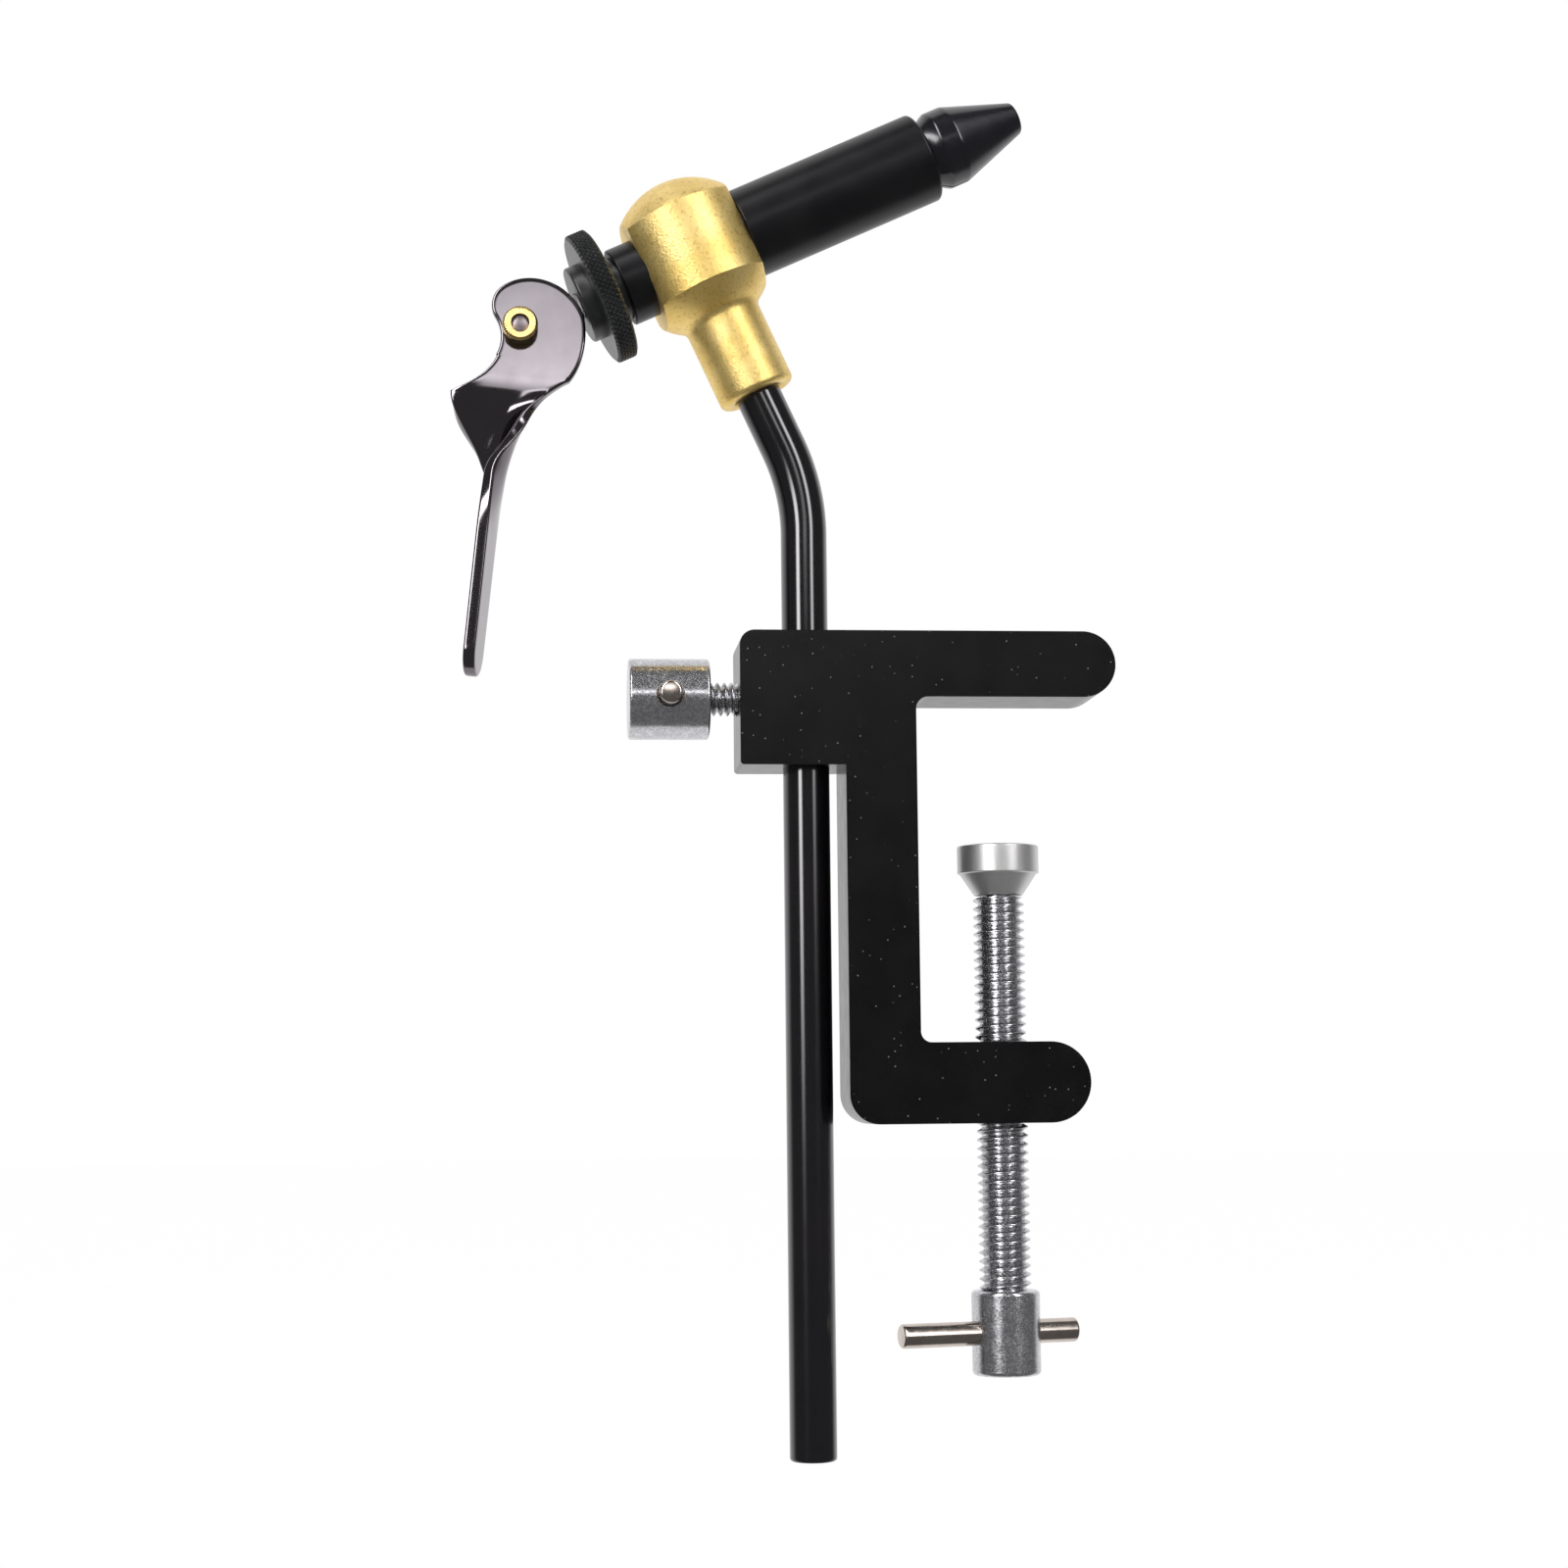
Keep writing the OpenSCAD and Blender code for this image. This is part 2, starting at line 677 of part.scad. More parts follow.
// Faces of a tube: rings of points that follow each other, closed across at each end
function tube_faces(rings, sides) = concat(
  [for (i = [0 : rings - 1]) for (k = [0 : sides - 1])
    let (a = i * sides + k, b = i * sides + (k + 1) % sides)
    each [[a, b, a + sides], [b, b + sides, a + sides]]],
  [for (k = [0 : sides / 2 - 2]) let (m = sides - 1 - k) each [[k + 1, k, m], [k + 1, m, m - 1]]],
  [for (k = [0 : sides / 2 - 2]) let (n = rings * sides, m = n + sides - 1 - k)
    each [[n + k, n + k + 1, m], [n + k + 1, m - 1, m]]]
);

// Slotted jaws on a shank that slides in the barrel
module collet() {
  color("#202023") along_barrel() difference() {
    rotate_extrude() polygon([
      [0, collet_a],
      [shank_d / 2 - bar_edge, collet_a],
      [shank_d / 2, collet_a + bar_edge],
      [shank_d / 2, seat_in_a],
      [jaw_d / 2, jaw_wide_a],
      [jaw_d / 2, jaw_cone_a],
      [jaw_tip_d / 2, jaw_tip_a - jaw_tip_edge],
      [jaw_tip_d / 2 - jaw_tip_edge, jaw_tip_a],
      [0, jaw_tip_a]
    ]);
    translate([-jaw_d, -jaw_slot / 2, collet_a + slot_back])
      cube([2 * jaw_d, jaw_slot, jaw_tip_a - collet_a]);
    translate([0, 0, collet_a + slot_back]) rotate([0, 90, 0])
      cylinder(d = slot_eye_d, h = 2 * jaw_d, center = true);
    translate([0, 0, collet_a - over])
      cylinder(d = rod_d + 2 * seat_gap, h = rod_thread_l + rod_play + over);
  }
}

// Rod from the collet to the pivot, with half its end cut away for the lever plate
module draw_rod() {
  color("silver") difference() {
    union() {
      along_barrel() translate([0, 0, pivot_a])
        cylinder(d = rod_d, h = collet_a + rod_thread_l - pivot_a);
      at_pivot() rotate([-90, 0, 0]) cylinder(d = eye_d, h = eye_t);
    }
    along_barrel() translate([-eye_d, -eye_d, pivot_a - eye_d])
      cube([2 * eye_d, eye_d, rod_flat_a - pivot_a + eye_d]);
    at_pivot() rotate([90, 0, 0]) cylinder(d = pivot_d + 2 * seat_gap, h = 2 * eye_d, center = true);
  }
}

// Knurled ring with a hub for the cam and a boss that screws into the barrel
module adjusting_nut() {
  color("#1d1d1f") along_barrel() difference() {
    union() {
      translate([0, 0, ring_back_a]) rounded_rod(knurl_d, knurl_w, knurl_edge, knurl_edge);
      translate([0, 0, hub_a]) rounded_rod(hub_d, hub_l + knurl_w, bar_edge, 0);
      translate([0, 0, ring_back_a]) rounded_rod(boss_d, knurl_w + knurl_gap + boss_l, 0, bar_edge);
    }
    translate([0, 0, hub_a - over])
      cylinder(d = rod_d + 2 * run_gap, h = hub_l + knurl_w + knurl_gap + boss_l + 2 * over);
  }
}

// Shares that run smoothly from 0 to 1, and that rise evenly with soft ends
function smooth(u) = let (c = max(0, min(1, u))) c * c * (3 - 2 * c);
function even_rise(u) =
  let (c = max(0, min(1, u)), r = twist_soft_share, k = 2 * r * (1 - r))
  c < r ? c * c / k : c < 1 - r ? (c - r / 2) / (1 - r) : 1 - (1 - c) * (1 - c) / k;

// The cam's reach in a direction, how fast it changes, and the point that it makes
function spread_h(past) = let (share = min(past, spread_blend))
  spread_rate * (share * share / (2 * spread_blend) + past - share);
function cam_h(turn) = let (d = turn - head_tilt)
  d > 0 ? cam_r - cam_rate * d
  : d > -cam_blend ? dwell_r - cam_rate * pow(d + cam_blend, 2) / (2 * cam_blend)
  : dwell_r + spread_h(max(0, spread_start - turn));
function cam_dh(turn) = let (d = turn - head_tilt)
  d > 0 ? -cam_lift
  : d > -cam_blend ? -cam_lift * (d + cam_blend) / cam_blend
  : -spread_rate * 180 / PI * min(1, max(0, spread_start - turn) / spread_blend);
function cam_point(turn) =
  cam_h(turn) * [cos(turn), sin(turn)] + cam_dh(turn) * [-sin(turn), cos(turn)];

lobe_c = cam_point(cam_fall_end) - lobe_r * [cos(cam_fall_end), sin(cam_fall_end)];
notch_r = norm(lobe_c - [notch_x, notch_z]) - lobe_r;
notch_start = atan2(lobe_c[1] - notch_z, lobe_c[0] - notch_x);

// Lean of the handle's middle line, and a point on it
function lean(s) = lean_end + (lean_top - lean_end) * (1 - smooth(s / lean_l));
function line_point(s) =
  let (c = min(s, lean_l), ds = c / lean_steps)
  let (turns = [for (j = [0 : lean_steps - 1]) [sin(lean((j + 0.5) * ds)), cos(lean((j + 0.5) * ds))]])
  [line_x, line_z] - ds * ([for (t = turns) 1] * turns) - (s - c) * [sin(lean_end), cos(lean_end)];

// Half widths to the left and right of that line
function half_w(s) = handle_half_top + (handle_half_end - handle_half_top) * s / handle_l;
function end_share(s) = let (d = s - handle_l + half_w(handle_l))
  d > 0 ? sqrt(max(0, 1 - pow(d / half_w(handle_l), 2))) : 1;
function left_w(s) =
  s < shoulder_end
  ? neck_left + (shoulder_left - neck_left)
    * pow(max(0, (s - shoulder_start) / (shoulder_end - shoulder_start)), shoulder_power)
  : half_w(s) + (shoulder_left - half_w(shoulder_end)) * (1 - smooth((s - shoulder_end) / shoulder_fade));
function right_w(s) = let (share = max(0, 1 - (s - flat_l) / neck_right_l))
  half_w(s) + (neck_right - half_w(flat_l)) * min(1, share * share);

// Twist and bulge at a place along the line; n is -1 at the left edge and 1 at the right edge
function twist(s, n) = handle_twist * even_rise((s + twist_lead * n - twist_start_l) / twist_l);
function bulge_at(s) = bulge * smooth((s - bulge_start) / (bulge_rise - bulge_start))
  * (1 - smooth((s - bulge_rise) / bulge_fall));

// Curl of the shoulder's tip at a place along the line, and the share of its width at w
function curl_at(s) = curl * smooth((s - flat_l) / curl_rise)
  * (1 - smooth((s - shoulder_end) / curl_fade));
function tip_at(w) = max(0, -w - curl_start) / (shoulder_left - curl_start);

// A point of the handle: s along its line, w to the right, up from its middle face
function handle_point(s, w, up) =
  let (width = w > 0 ? right_w(s) : left_w(s), n = w / width)
  let (p = line_point(s), b = bulge_at(s) * (1 - n * n))
  let (across = twist(s, n / 2), middle = twist(s, 0))
  let (bend = curl_at(s) * tip_at(w))
  let (face = twist(s, n) + atan(2 * n * bulge_at(s) / width + 2 * bend / (shoulder_left - curl_start)))
  let (side = w * cos(across) + b * sin(middle) - up * sin(face))
  let (depth = jog * smooth((s - flat_l) / jog_l) + bend * tip_at(w)
    - w * sin(across) + b * cos(middle) - up * cos(face))
  [p[0] + side * cos(lean(s)), depth, p[1] - side * sin(lean(s))];
function handle_ring(s) =
  let (inset = s < flat_l ? root_inset : seat_gap)
  let (widths = [for (k = [0 : side_steps]) let (f = k / side_steps)
    end_share(s) * (f * (right_w(s) - inset) - (1 - f) * (left_w(s) - inset))])
  let (up = lever_t / 2 - seat_gap)
  concat(
    [for (k = [0 : side_steps]) handle_point(s, widths[k], up)],
    [for (k = [side_steps : -1 : 0]) handle_point(s, widths[k], -up)]
  );

// Flat plate round the pivot: cam, lobe, finger notch and the line where the handle begins
module cam_plate() {
  start_right = handle_point(flat_l, right_w(flat_l), 0);
  polygon(concat(
    [for (i = [0 : cam_steps])
      cam_point(cam_dwell_end + (cam_fall_end - cam_dwell_end) * i / cam_steps)],
    [for (i = [1 : arc_steps]) let (turn = cam_fall_end + lobe_turn * i / arc_steps)
      lobe_c + lobe_r * [cos(turn), sin(turn)]],
    [for (i = [1 : arc_steps]) let (turn = notch_start + (notch_end - notch_start) * i / arc_steps)
      [notch_x, notch_z] + notch_r * [cos(turn), sin(turn)]],
    [for (i = [0 : flat_steps])
      let (s = shoulder_start + (flat_l - shoulder_start) * i / flat_steps, p = handle_point(s, -left_w(s), 0))
      [p[0], p[2]]],
    [[start_right[0], start_right[2]]]
  ));
}

// Plate with the cam on top and a twisted handle below
module cam_lever() {
  straight = handle_l - half_w(handle_l);
  start = flat_l + seat_gap;
  places = concat(
    [flat_l - over],
    [for (i = [0 : handle_steps]) start + (straight - start) * i / handle_steps],
    [for (i = [1 : end_steps]) straight + half_w(handle_l) * sin(end_turn * i / end_steps)]
  );
  sides = 2 * (side_steps + 1);
  color("#3a373a") at_pivot() difference() {
    translate([0, lever_y, 0]) union() {
      rotate([90, 0, 0]) linear_extrude(lever_t, center = true) cam_plate();
      polyhedron(points = [for (s = places) each handle_ring(s)], faces = tube_faces(gaps_in(places), sides));
    }
    rotate([90, 0, 0]) cylinder(d = pivot_d + 2 * run_gap, h = 2 * cam_reach, center = true);
  }
}

// Slotted screw from the back, through the rod's eye and the lever into the nut
module lever_screw() {
  color("silver") at_pivot() difference() {
    union() {
      translate([0, eye_t - screw_l, 0]) rotate([-90, 0, 0])
        rounded_rod(pivot_d, screw_l + over, bar_edge, 0);
      translate([0, eye_t, 0]) rotate([-90, 0, 0])
        rounded_rod(screw_head_d, screw_head_h, 0, bar_edge);
    }
    translate([-screw_head_d, eye_t + screw_head_h - screw_slot_h, -screw_slot_w / 2])
      cube([2 * screw_head_d, screw_slot_h + over, screw_slot_w]);
  }
}

// Round nut on the front end of that screw
module lever_nut() {
  color("gold") at_pivot() translate([0, nut_y, 0]) rotate([90, 0, 0]) difference() {
    rounded_rod(lever_nut_d, lever_nut_h, nut_edge, nut_edge);
    translate([0, 0, -over]) cylinder(d = pivot_d + 2 * seat_gap, h = lever_nut_h + 2 * over);
  }
}

clamp_frame();
clamp_screw();
clamp_screw_bar();
clamp_pad();
pad_ring();
stem();
lock_screw();
lock_screw_bar();
head();
stem_pin();
head_set_screw();
friction_pad();
barrel();
return_spring();
collet();
draw_rod();
adjusting_nut();
cam_lever();
lever_screw();
lever_nut();
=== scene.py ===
"""Clamp-on fly tying vise: visible pieces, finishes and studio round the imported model."""

import logging
import math
from dataclasses import dataclass
from enum import Enum

import bmesh
import bpy
from mathutils import Matrix, Vector


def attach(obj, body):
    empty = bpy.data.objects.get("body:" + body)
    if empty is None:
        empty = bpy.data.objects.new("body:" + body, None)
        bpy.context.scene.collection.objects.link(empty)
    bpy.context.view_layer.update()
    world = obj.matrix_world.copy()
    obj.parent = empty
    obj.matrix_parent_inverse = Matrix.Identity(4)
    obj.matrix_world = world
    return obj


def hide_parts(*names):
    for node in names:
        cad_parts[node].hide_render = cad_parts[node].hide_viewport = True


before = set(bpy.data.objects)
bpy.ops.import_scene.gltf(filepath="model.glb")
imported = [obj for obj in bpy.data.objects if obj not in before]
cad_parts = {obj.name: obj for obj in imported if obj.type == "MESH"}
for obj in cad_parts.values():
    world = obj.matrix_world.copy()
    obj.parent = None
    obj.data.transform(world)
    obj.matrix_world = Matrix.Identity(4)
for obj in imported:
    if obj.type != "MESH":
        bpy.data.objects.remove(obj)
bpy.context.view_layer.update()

LOG = logging.getLogger("vise")
MM = 0.001
FULL_TURN = 2 * math.pi
QUARTER = math.pi / 2
FINE, MEDIUM, SMALL, TINY = 128, 96, 64, 48  # sides of round shapes, from large pieces to small bores
TO_RIGHT = Matrix.Rotation(QUARTER, 4, "Y")
TO_FRONT = Matrix.Rotation(QUARTER, 4, "X")
TO_BACK = Matrix.Rotation(-QUARTER, 4, "X")

Pair = tuple[float, float]
Triple = tuple[float, float, float]


def shift(x: float = 0.0, y: float = 0.0, z: float = 0.0) -> Matrix:
    """A move by three distances."""
    return Matrix.Translation((x, y, z))


def picked(made: list, kind: type) -> list:
    """The parts of one kind, such as edges, among those that an operator made."""
    return [part for part in made if isinstance(part, kind)]


def spaced(first: float, last: float, count: int) -> list[float]:
    """Values from the first to the last in even steps, with both ends."""
    return [first + (last - first) * k / count for k in range(count + 1)]


# Shader building


class Sock:
    """An output socket that adds a Math node for each operator used on it."""

    def __init__(self, tree: bpy.types.NodeTree, socket: bpy.types.NodeSocket) -> None:
        """Keeps the tree and the socket."""
        self.tree = tree
        self.socket = socket

    def math(self, operation: str, *others: "Sock | float", flip: bool = False) -> "Sock":
        """Adds one Math node.

        Args:
            operation: the node's operation.
            others: the other values, sockets or numbers.
            flip: puts this socket after the first other value.
        Returns:
            The node's output.
        """
        node = self.tree.nodes.new("ShaderNodeMath")
        node.operation = operation
        values = [self, *others]
        if flip:
            values[0], values[1] = values[1], values[0]
        for place, value in enumerate(values):
            if isinstance(value, Sock):
                self.tree.links.new(value.socket, node.inputs[place])
            else:
                node.inputs[place].default_value = value
        return Sock(self.tree, node.outputs[0])

    def __add__(self, other: "Sock | float") -> "Sock":
        """Sum."""
        return self.math("ADD", other)

    __radd__ = __add__

    def __sub__(self, other: "Sock | float") -> "Sock":
        """Difference."""
        return self.math("SUBTRACT", other)

    def __rsub__(self, other: float) -> "Sock":
        """A number less this."""
        return self.math("SUBTRACT", other, flip=True)

    def __mul__(self, other: "Sock | float") -> "Sock":
        """Product."""
        return self.math("MULTIPLY", other)

    __rmul__ = __mul__

    def __neg__(self) -> "Sock":
        """Opposite."""
        return self.math("MULTIPLY", -1.0)

    def above(self, low: float, high: float) -> "Sock":
        """Rises smoothly as this value passes from one level to another.

        Args:
            low: the level up to which the result is 0.
            high: the level from which it is 1.
        Returns:
            The result.
        """
        node = self.tree.nodes.new("ShaderNodeMapRange")
        node.interpolation_type = "SMOOTHSTEP"
        self.tree.links.new(self.socket, node.inputs["Value"])
        node.inputs["From Min"].default_value = low
        node.inputs["From Max"].default_value = high
        return Sock(self.tree, node.outputs["Result"])

    def near(self, centre: float, half: float, soft: float) -> "Sock":
        """1 within half of a centre, fading to 0 over soft."""
        return 1.0 - (self - centre).math("ABSOLUTE").above(half, half + soft)


class Recipe:
    """Adds nodes to one tree."""

    def __init__(self, tree: bpy.types.NodeTree) -> None:
        """Empties the tree and keeps it."""
        tree.nodes.clear()
        self.tree = tree

    def add(self, kind: str, settings: dict | None = None, values: dict | None = None,
            out: int | str = 0) -> Sock | None:
        """Adds a node of any type.

        Args:
            kind: the node's type, without the words ShaderNode.
            settings: its properties, set first; "stops" are a ramp's places and colours.
            values: numbers, colours or sockets for its inputs.
            out: the output to return.
        Returns:
            That output.
        """
        node = self.tree.nodes.new("ShaderNode" + kind)
        for key, value in (settings or {}).items():
            if key == "stops":
                ramp = node.color_ramp.elements
                while len(ramp) < len(value):
                    ramp.new(1.0)
                for stop, (place, colour) in zip(ramp, value):
                    stop.position = place
                    stop.color = (*colour, 1.0)
            else:
                setattr(node, key, value)
        for key, value in (values or {}).items():
            if isinstance(value, Sock):
                self.tree.links.new(value.socket, node.inputs[key])
            else:
                node.inputs[key].default_value = value
        return Sock(self.tree, node.outputs[out]) if node.outputs else None

    def mix(self, factor: Sock | float, low: Sock | Triple, high: Sock | Triple) -> Sock:
        """Blends two colours.

        Args:
            factor: the share of the second colour.
            low: the first colour.
            high: the second colour.
        Returns:
            The blend.
        """
        ends = [end if isinstance(end, Sock) else (*end, 1.0) for end in (low, high)]
        return self.add("Mix", {"data_type": "RGBA"}, {0: factor, 6: ends[0], 7: ends[1]}, out=2)

    def noise(self, place: Sock, size_mm: float, detail: float = 3.0, rough: float = 0.55) -> Sock:
        """Noise whose features are about size_mm across."""
        values = {"Vector": place, "Scale": 1.0 / (size_mm * MM), "Detail": detail, "Roughness": rough}
        return self.add("TexNoise", None, values)

    def cells(self, place: Sock, size_mm: float, out: str) -> Sock:
        """Voronoi cells about size_mm across."""
        return self.add("TexVoronoi", None, {"Vector": place, "Scale": 1.0 / (size_mm * MM)}, out=out)

    def lots(self, place: Sock, size_mm: float, draw: int = 0) -> Sock:
        """One of three random values, from 0 to 1, that each of these cells has."""
        return self.add("SeparateColor", None, {"Color": self.cells(place, size_mm, "Color")}, out=draw)


# Finishes


@dataclass(frozen=True)
class Finish:
    """What every finish of this object shares.

    Colours are linear. Sizes are in millimetres, and relief is the depth of the finest grain.
    """

    name: str
    colour: Triple
    second: Triple
    patch_mm: float = 6.0
    patch_edge: Pair = (0.3, 0.7)
    rough: float = 0.3
    rough_spread: float = 0.12
    metallic: float = 1.0
    coat: float = 0.0
    coat_rough: float = 0.12
    shine: float = 0.5
    grain_mm: float = 0.25
    relief: float = 0.004
    bump: float = 0.6
    dust: float = 0.0
    dust_mm: float = 1.1
    dust_edge: Pair = (0.07, 0.15)
    dust_cover: float = 0.45
    dust_rough: float = 0.3
    dust_colour: Triple = (0.35, 0.35, 0.36)

    def grain(self, recipe: Recipe, place: Sock) -> Sock:
        """Height of the surface's fine texture, from 0 to 1."""
        return recipe.noise(place, self.grain_mm, detail=4.0)

    def patches(self, recipe: Recipe, place: Sock) -> Sock:
        """Soft patches, from 0 to 1."""
        return recipe.noise(place, self.patch_mm).above(*self.patch_edge)

    def tone(self, recipe: Recipe, place: Sock) -> Sock:
        """Colour over the surface."""
        return recipe.mix(self.patches(recipe, place), self.colour, self.second)

    def spread(self, share: Sock) -> Sock:
        """Roughness for a share from 0 to 1."""
        return share * self.rough_spread * 2.0 + (self.rough - self.rough_spread)

    def gloss(self, recipe: Recipe, place: Sock) -> Sock:
        """Roughness over the surface, in smears smaller than the patches."""
        return self.spread(recipe.noise(place, self.patch_mm * 0.4, detail=5.0))

    def specks(self, recipe: Recipe, place: Sock) -> Sock:
        """Specks of dust: the middles of those cells whose lot is high.

        Args:
            recipe: the material's recipe.
            place: the point on the piece.
        Returns:
            1 on a speck, 0 beside it.
        """
        outside = recipe.cells(place, self.dust_mm, "Distance").above(*self.dust_edge)
        kept = recipe.lots(place, self.dust_mm).above(1.0 - self.dust, 1.0 - self.dust * 0.6)
        return (1.0 - outside) * kept

    def build(self) -> bpy.types.Material:
        """Makes the material, once.

        Returns:
            The material, also when it was made before.
        """
        made = bpy.data.materials.get(self.name)
        if made:
            return made
        material = bpy.data.materials.new(self.name)
        material.use_nodes = True
        recipe = Recipe(material.node_tree)
        place = recipe.add("TexCoord", out="Object")
        tone = self.tone(recipe, place)
        gloss = self.gloss(recipe, place)
        height = self.grain(recipe, place)
        if self.dust:
            specks = self.specks(recipe, place)
            tone = recipe.mix(specks * self.dust_cover, tone, self.dust_colour)
            gloss = gloss + specks * self.dust_rough
        relief = {"Height": height, "Strength": self.bump, "Distance": self.relief * MM}
        values = {"Base Color": tone, "Roughness": gloss, "Metallic": self.metallic, "Coat Weight": self.coat,
                  "Coat Roughness": self.coat_rough, "Specular IOR Level": self.shine,
                  "Normal": recipe.add("Bump", None, relief)}
        recipe.add("OutputMaterial", None, {"Surface": recipe.add("BsdfPrincipled", None, values)})
        return material


@dataclass(frozen=True)
class Spangled(Finish):
    """Zinc plate: tiny crystals that differ in tone."""

    patch_edge: Pair = (0.35, 0.65)
    cell_mm: float = 0.35

    def tone(self, recipe: Recipe, place: Sock) -> Sock:
        """Colour that changes from crystal to crystal."""
        crystals = recipe.lots(place, self.cell_mm).above(0.15, 0.95)
        return recipe.mix(crystals * (self.patches(recipe, place) * 0.5 + 0.5), self.colour, self.second)

    def gloss(self, recipe: Recipe, place: Sock) -> Sock:
        """Roughness that changes from crystal to crystal."""
        return self.spread(recipe.lots(place, self.cell_mm, 1))


@dataclass(frozen=True)
class Sparkling(Finish):
    """Gold over a blasted surface: each grain tilts a little and catches the light, and darker spots paint the
    shade in each blast pit.
    """

    # painted shade in each blast pit: where the darker spots start and end, how much they cover, and their
    # darker tint
    pit_shade_edge: Pair = (0.52, 0.72)
    pit_shade_share: float = 0.6
    pit_shade_tint: Triple = (0.62, 0.52, 0.36)

    def grain(self, recipe: Recipe, place: Sock) -> Sock:
        """Grains of two sizes."""
        coarse = recipe.cells(place, self.grain_mm, "Distance")
        return coarse * 0.7 + recipe.noise(place, self.grain_mm * 0.5, detail=2.0) * 0.6

    def tone(self, recipe: Recipe, place: Sock) -> Sock:
        """Colour with painted shade: darker spots for the shade in each blast pit.

        Args:
            recipe: the material's recipe.
            place: the point on the piece.
        Returns:
            The colour.
        """
        # painted shade: darker spots where shade falls in each blast pit, mixed into the colour
        shaded_pits = recipe.noise(place, self.grain_mm * 1.6).above(*self.pit_shade_edge)
        dark = tuple(share * part for share, part in zip(self.pit_shade_tint, self.colour))
        return recipe.mix(shaded_pits * self.pit_shade_share, super().tone(recipe, place), dark)


@dataclass(frozen=True)
class Turned(Finish):
    """Metal from the lathe: fine rings along an axis through the origin."""

    axis: Triple = (0.0, 0.0, 1.0)
    ring_mm: float = 0.18

    def grain(self, recipe: Recipe, place: Sock) -> Sock:
        """Rings along the axis and round it, with a little noise.

        Args:
            recipe: the material's recipe.
            place: the point on the piece.
        Returns:
            The height.
        """
        along = recipe.add("VectorMath", {"operation": "DOT_PRODUCT"}, {0: place, 1: self.axis}, out="Value")
        length = recipe.add("VectorMath", {"operation": "LENGTH"}, {0: place}, out="Value")
        radius = (length * length - along * along).math("MAXIMUM", 0.0).math("SQRT")
        wobble = recipe.noise(place, 1.5) * (self.ring_mm * MM)
        rings = ((along + radius + wobble) * (FULL_TURN / (self.ring_mm * MM))).math("SINE")
        return rings * 0.35 + recipe.noise(place, self.grain_mm) * 0.5


class Paint(Enum):
    """The finishes of the whole object."""

    FRAME = Finish("anodised_black", (0.0018, 0.0018, 0.0022), (0.0036, 0.0036, 0.004), patch_mm=9.0,
                   rough=0.24, rough_spread=0.05, metallic=0.0, shine=0.25, grain_mm=0.12, dust=0.3)
    ZINC = Spangled("bright_zinc", (0.47, 0.47, 0.49), (0.70, 0.70, 0.71), patch_mm=4.0,
                    rough=0.23, rough_spread=0.06, metallic=0.95, grain_mm=0.16)
    NICKEL = Finish("warm_nickel", (0.52, 0.46, 0.41), (0.60, 0.54, 0.48), patch_mm=3.0,
                    rough=0.16, rough_spread=0.05, grain_mm=0.3, relief=0.002)
    TURNED = Turned("turned_steel", (0.50, 0.49, 0.50), (0.62, 0.61, 0.62), patch_mm=4.0,
                    rough=0.17, rough_spread=0.05, grain_mm=0.2, relief=0.003)
    DARK_STEEL = Finish("black_oxide", (0.04, 0.04, 0.042), (0.055, 0.055, 0.058), patch_mm=2.0, rough=0.42)
    STEM = Finish("polished_black", (0.003, 0.003, 0.004), (0.005, 0.004, 0.005), patch_mm=12.0,
                  rough=0.13, rough_spread=0.04, metallic=0.0, coat=0.6, grain_mm=0.6, relief=0.002)
    GOLD = Sparkling("matte_gold", (0.85, 0.61, 0.19), (0.96, 0.74, 0.29), patch_mm=7.0,
                     rough=0.43, rough_spread=0.06, metallic=0.9, grain_mm=0.40, relief=0.07)
    BARREL = Finish("satin_black", (0.003, 0.003, 0.004), (0.005, 0.005, 0.006), patch_mm=10.0,
                    rough=0.32, rough_spread=0.06, metallic=0.0, shine=0.3, grain_mm=0.2)
    JAWS = Finish("hardened_black", (0.004, 0.004, 0.006), (0.006, 0.006, 0.009), patch_mm=5.0,
                  rough=0.22, rough_spread=0.05, metallic=0.0, coat=0.2, relief=0.003)
    NYLON = Finish("nylon", (0.72, 0.70, 0.62), (0.78, 0.76, 0.68), rough=0.5, metallic=0.0, relief=0.002)
    SPRING = Finish("drawn_wire", (0.30, 0.30, 0.32), (0.40, 0.40, 0.42), patch_mm=1.5)
    KNURL = Finish("black_nut", (0.010, 0.011, 0.011), (0.017, 0.018, 0.018), patch_mm=3.0,
                   rough=0.34, rough_spread=0.05, metallic=0.0, shine=0.6, grain_mm=0.12)
    LEVER = Finish("polished_black_nickel", (0.155, 0.142, 0.152), (0.175, 0.162, 0.172), patch_mm=8.0,
                   rough=0.11, rough_spread=0.03, grain_mm=1.2, relief=0.0003)
    PIVOT = Finish("pivot_steel", (0.25, 0.21, 0.22), (0.32, 0.28, 0.29), patch_mm=1.0,
                   rough=0.4, rough_spread=0.05, metallic=0.6, grain_mm=0.2, relief=0.002)
    BRASS = Finish("polished_brass", (0.78, 0.57, 0.22), (0.84, 0.63, 0.27), patch_mm=2.0,
                   rough=0.2, rough_spread=0.05, grain_mm=0.2)


# Shapes


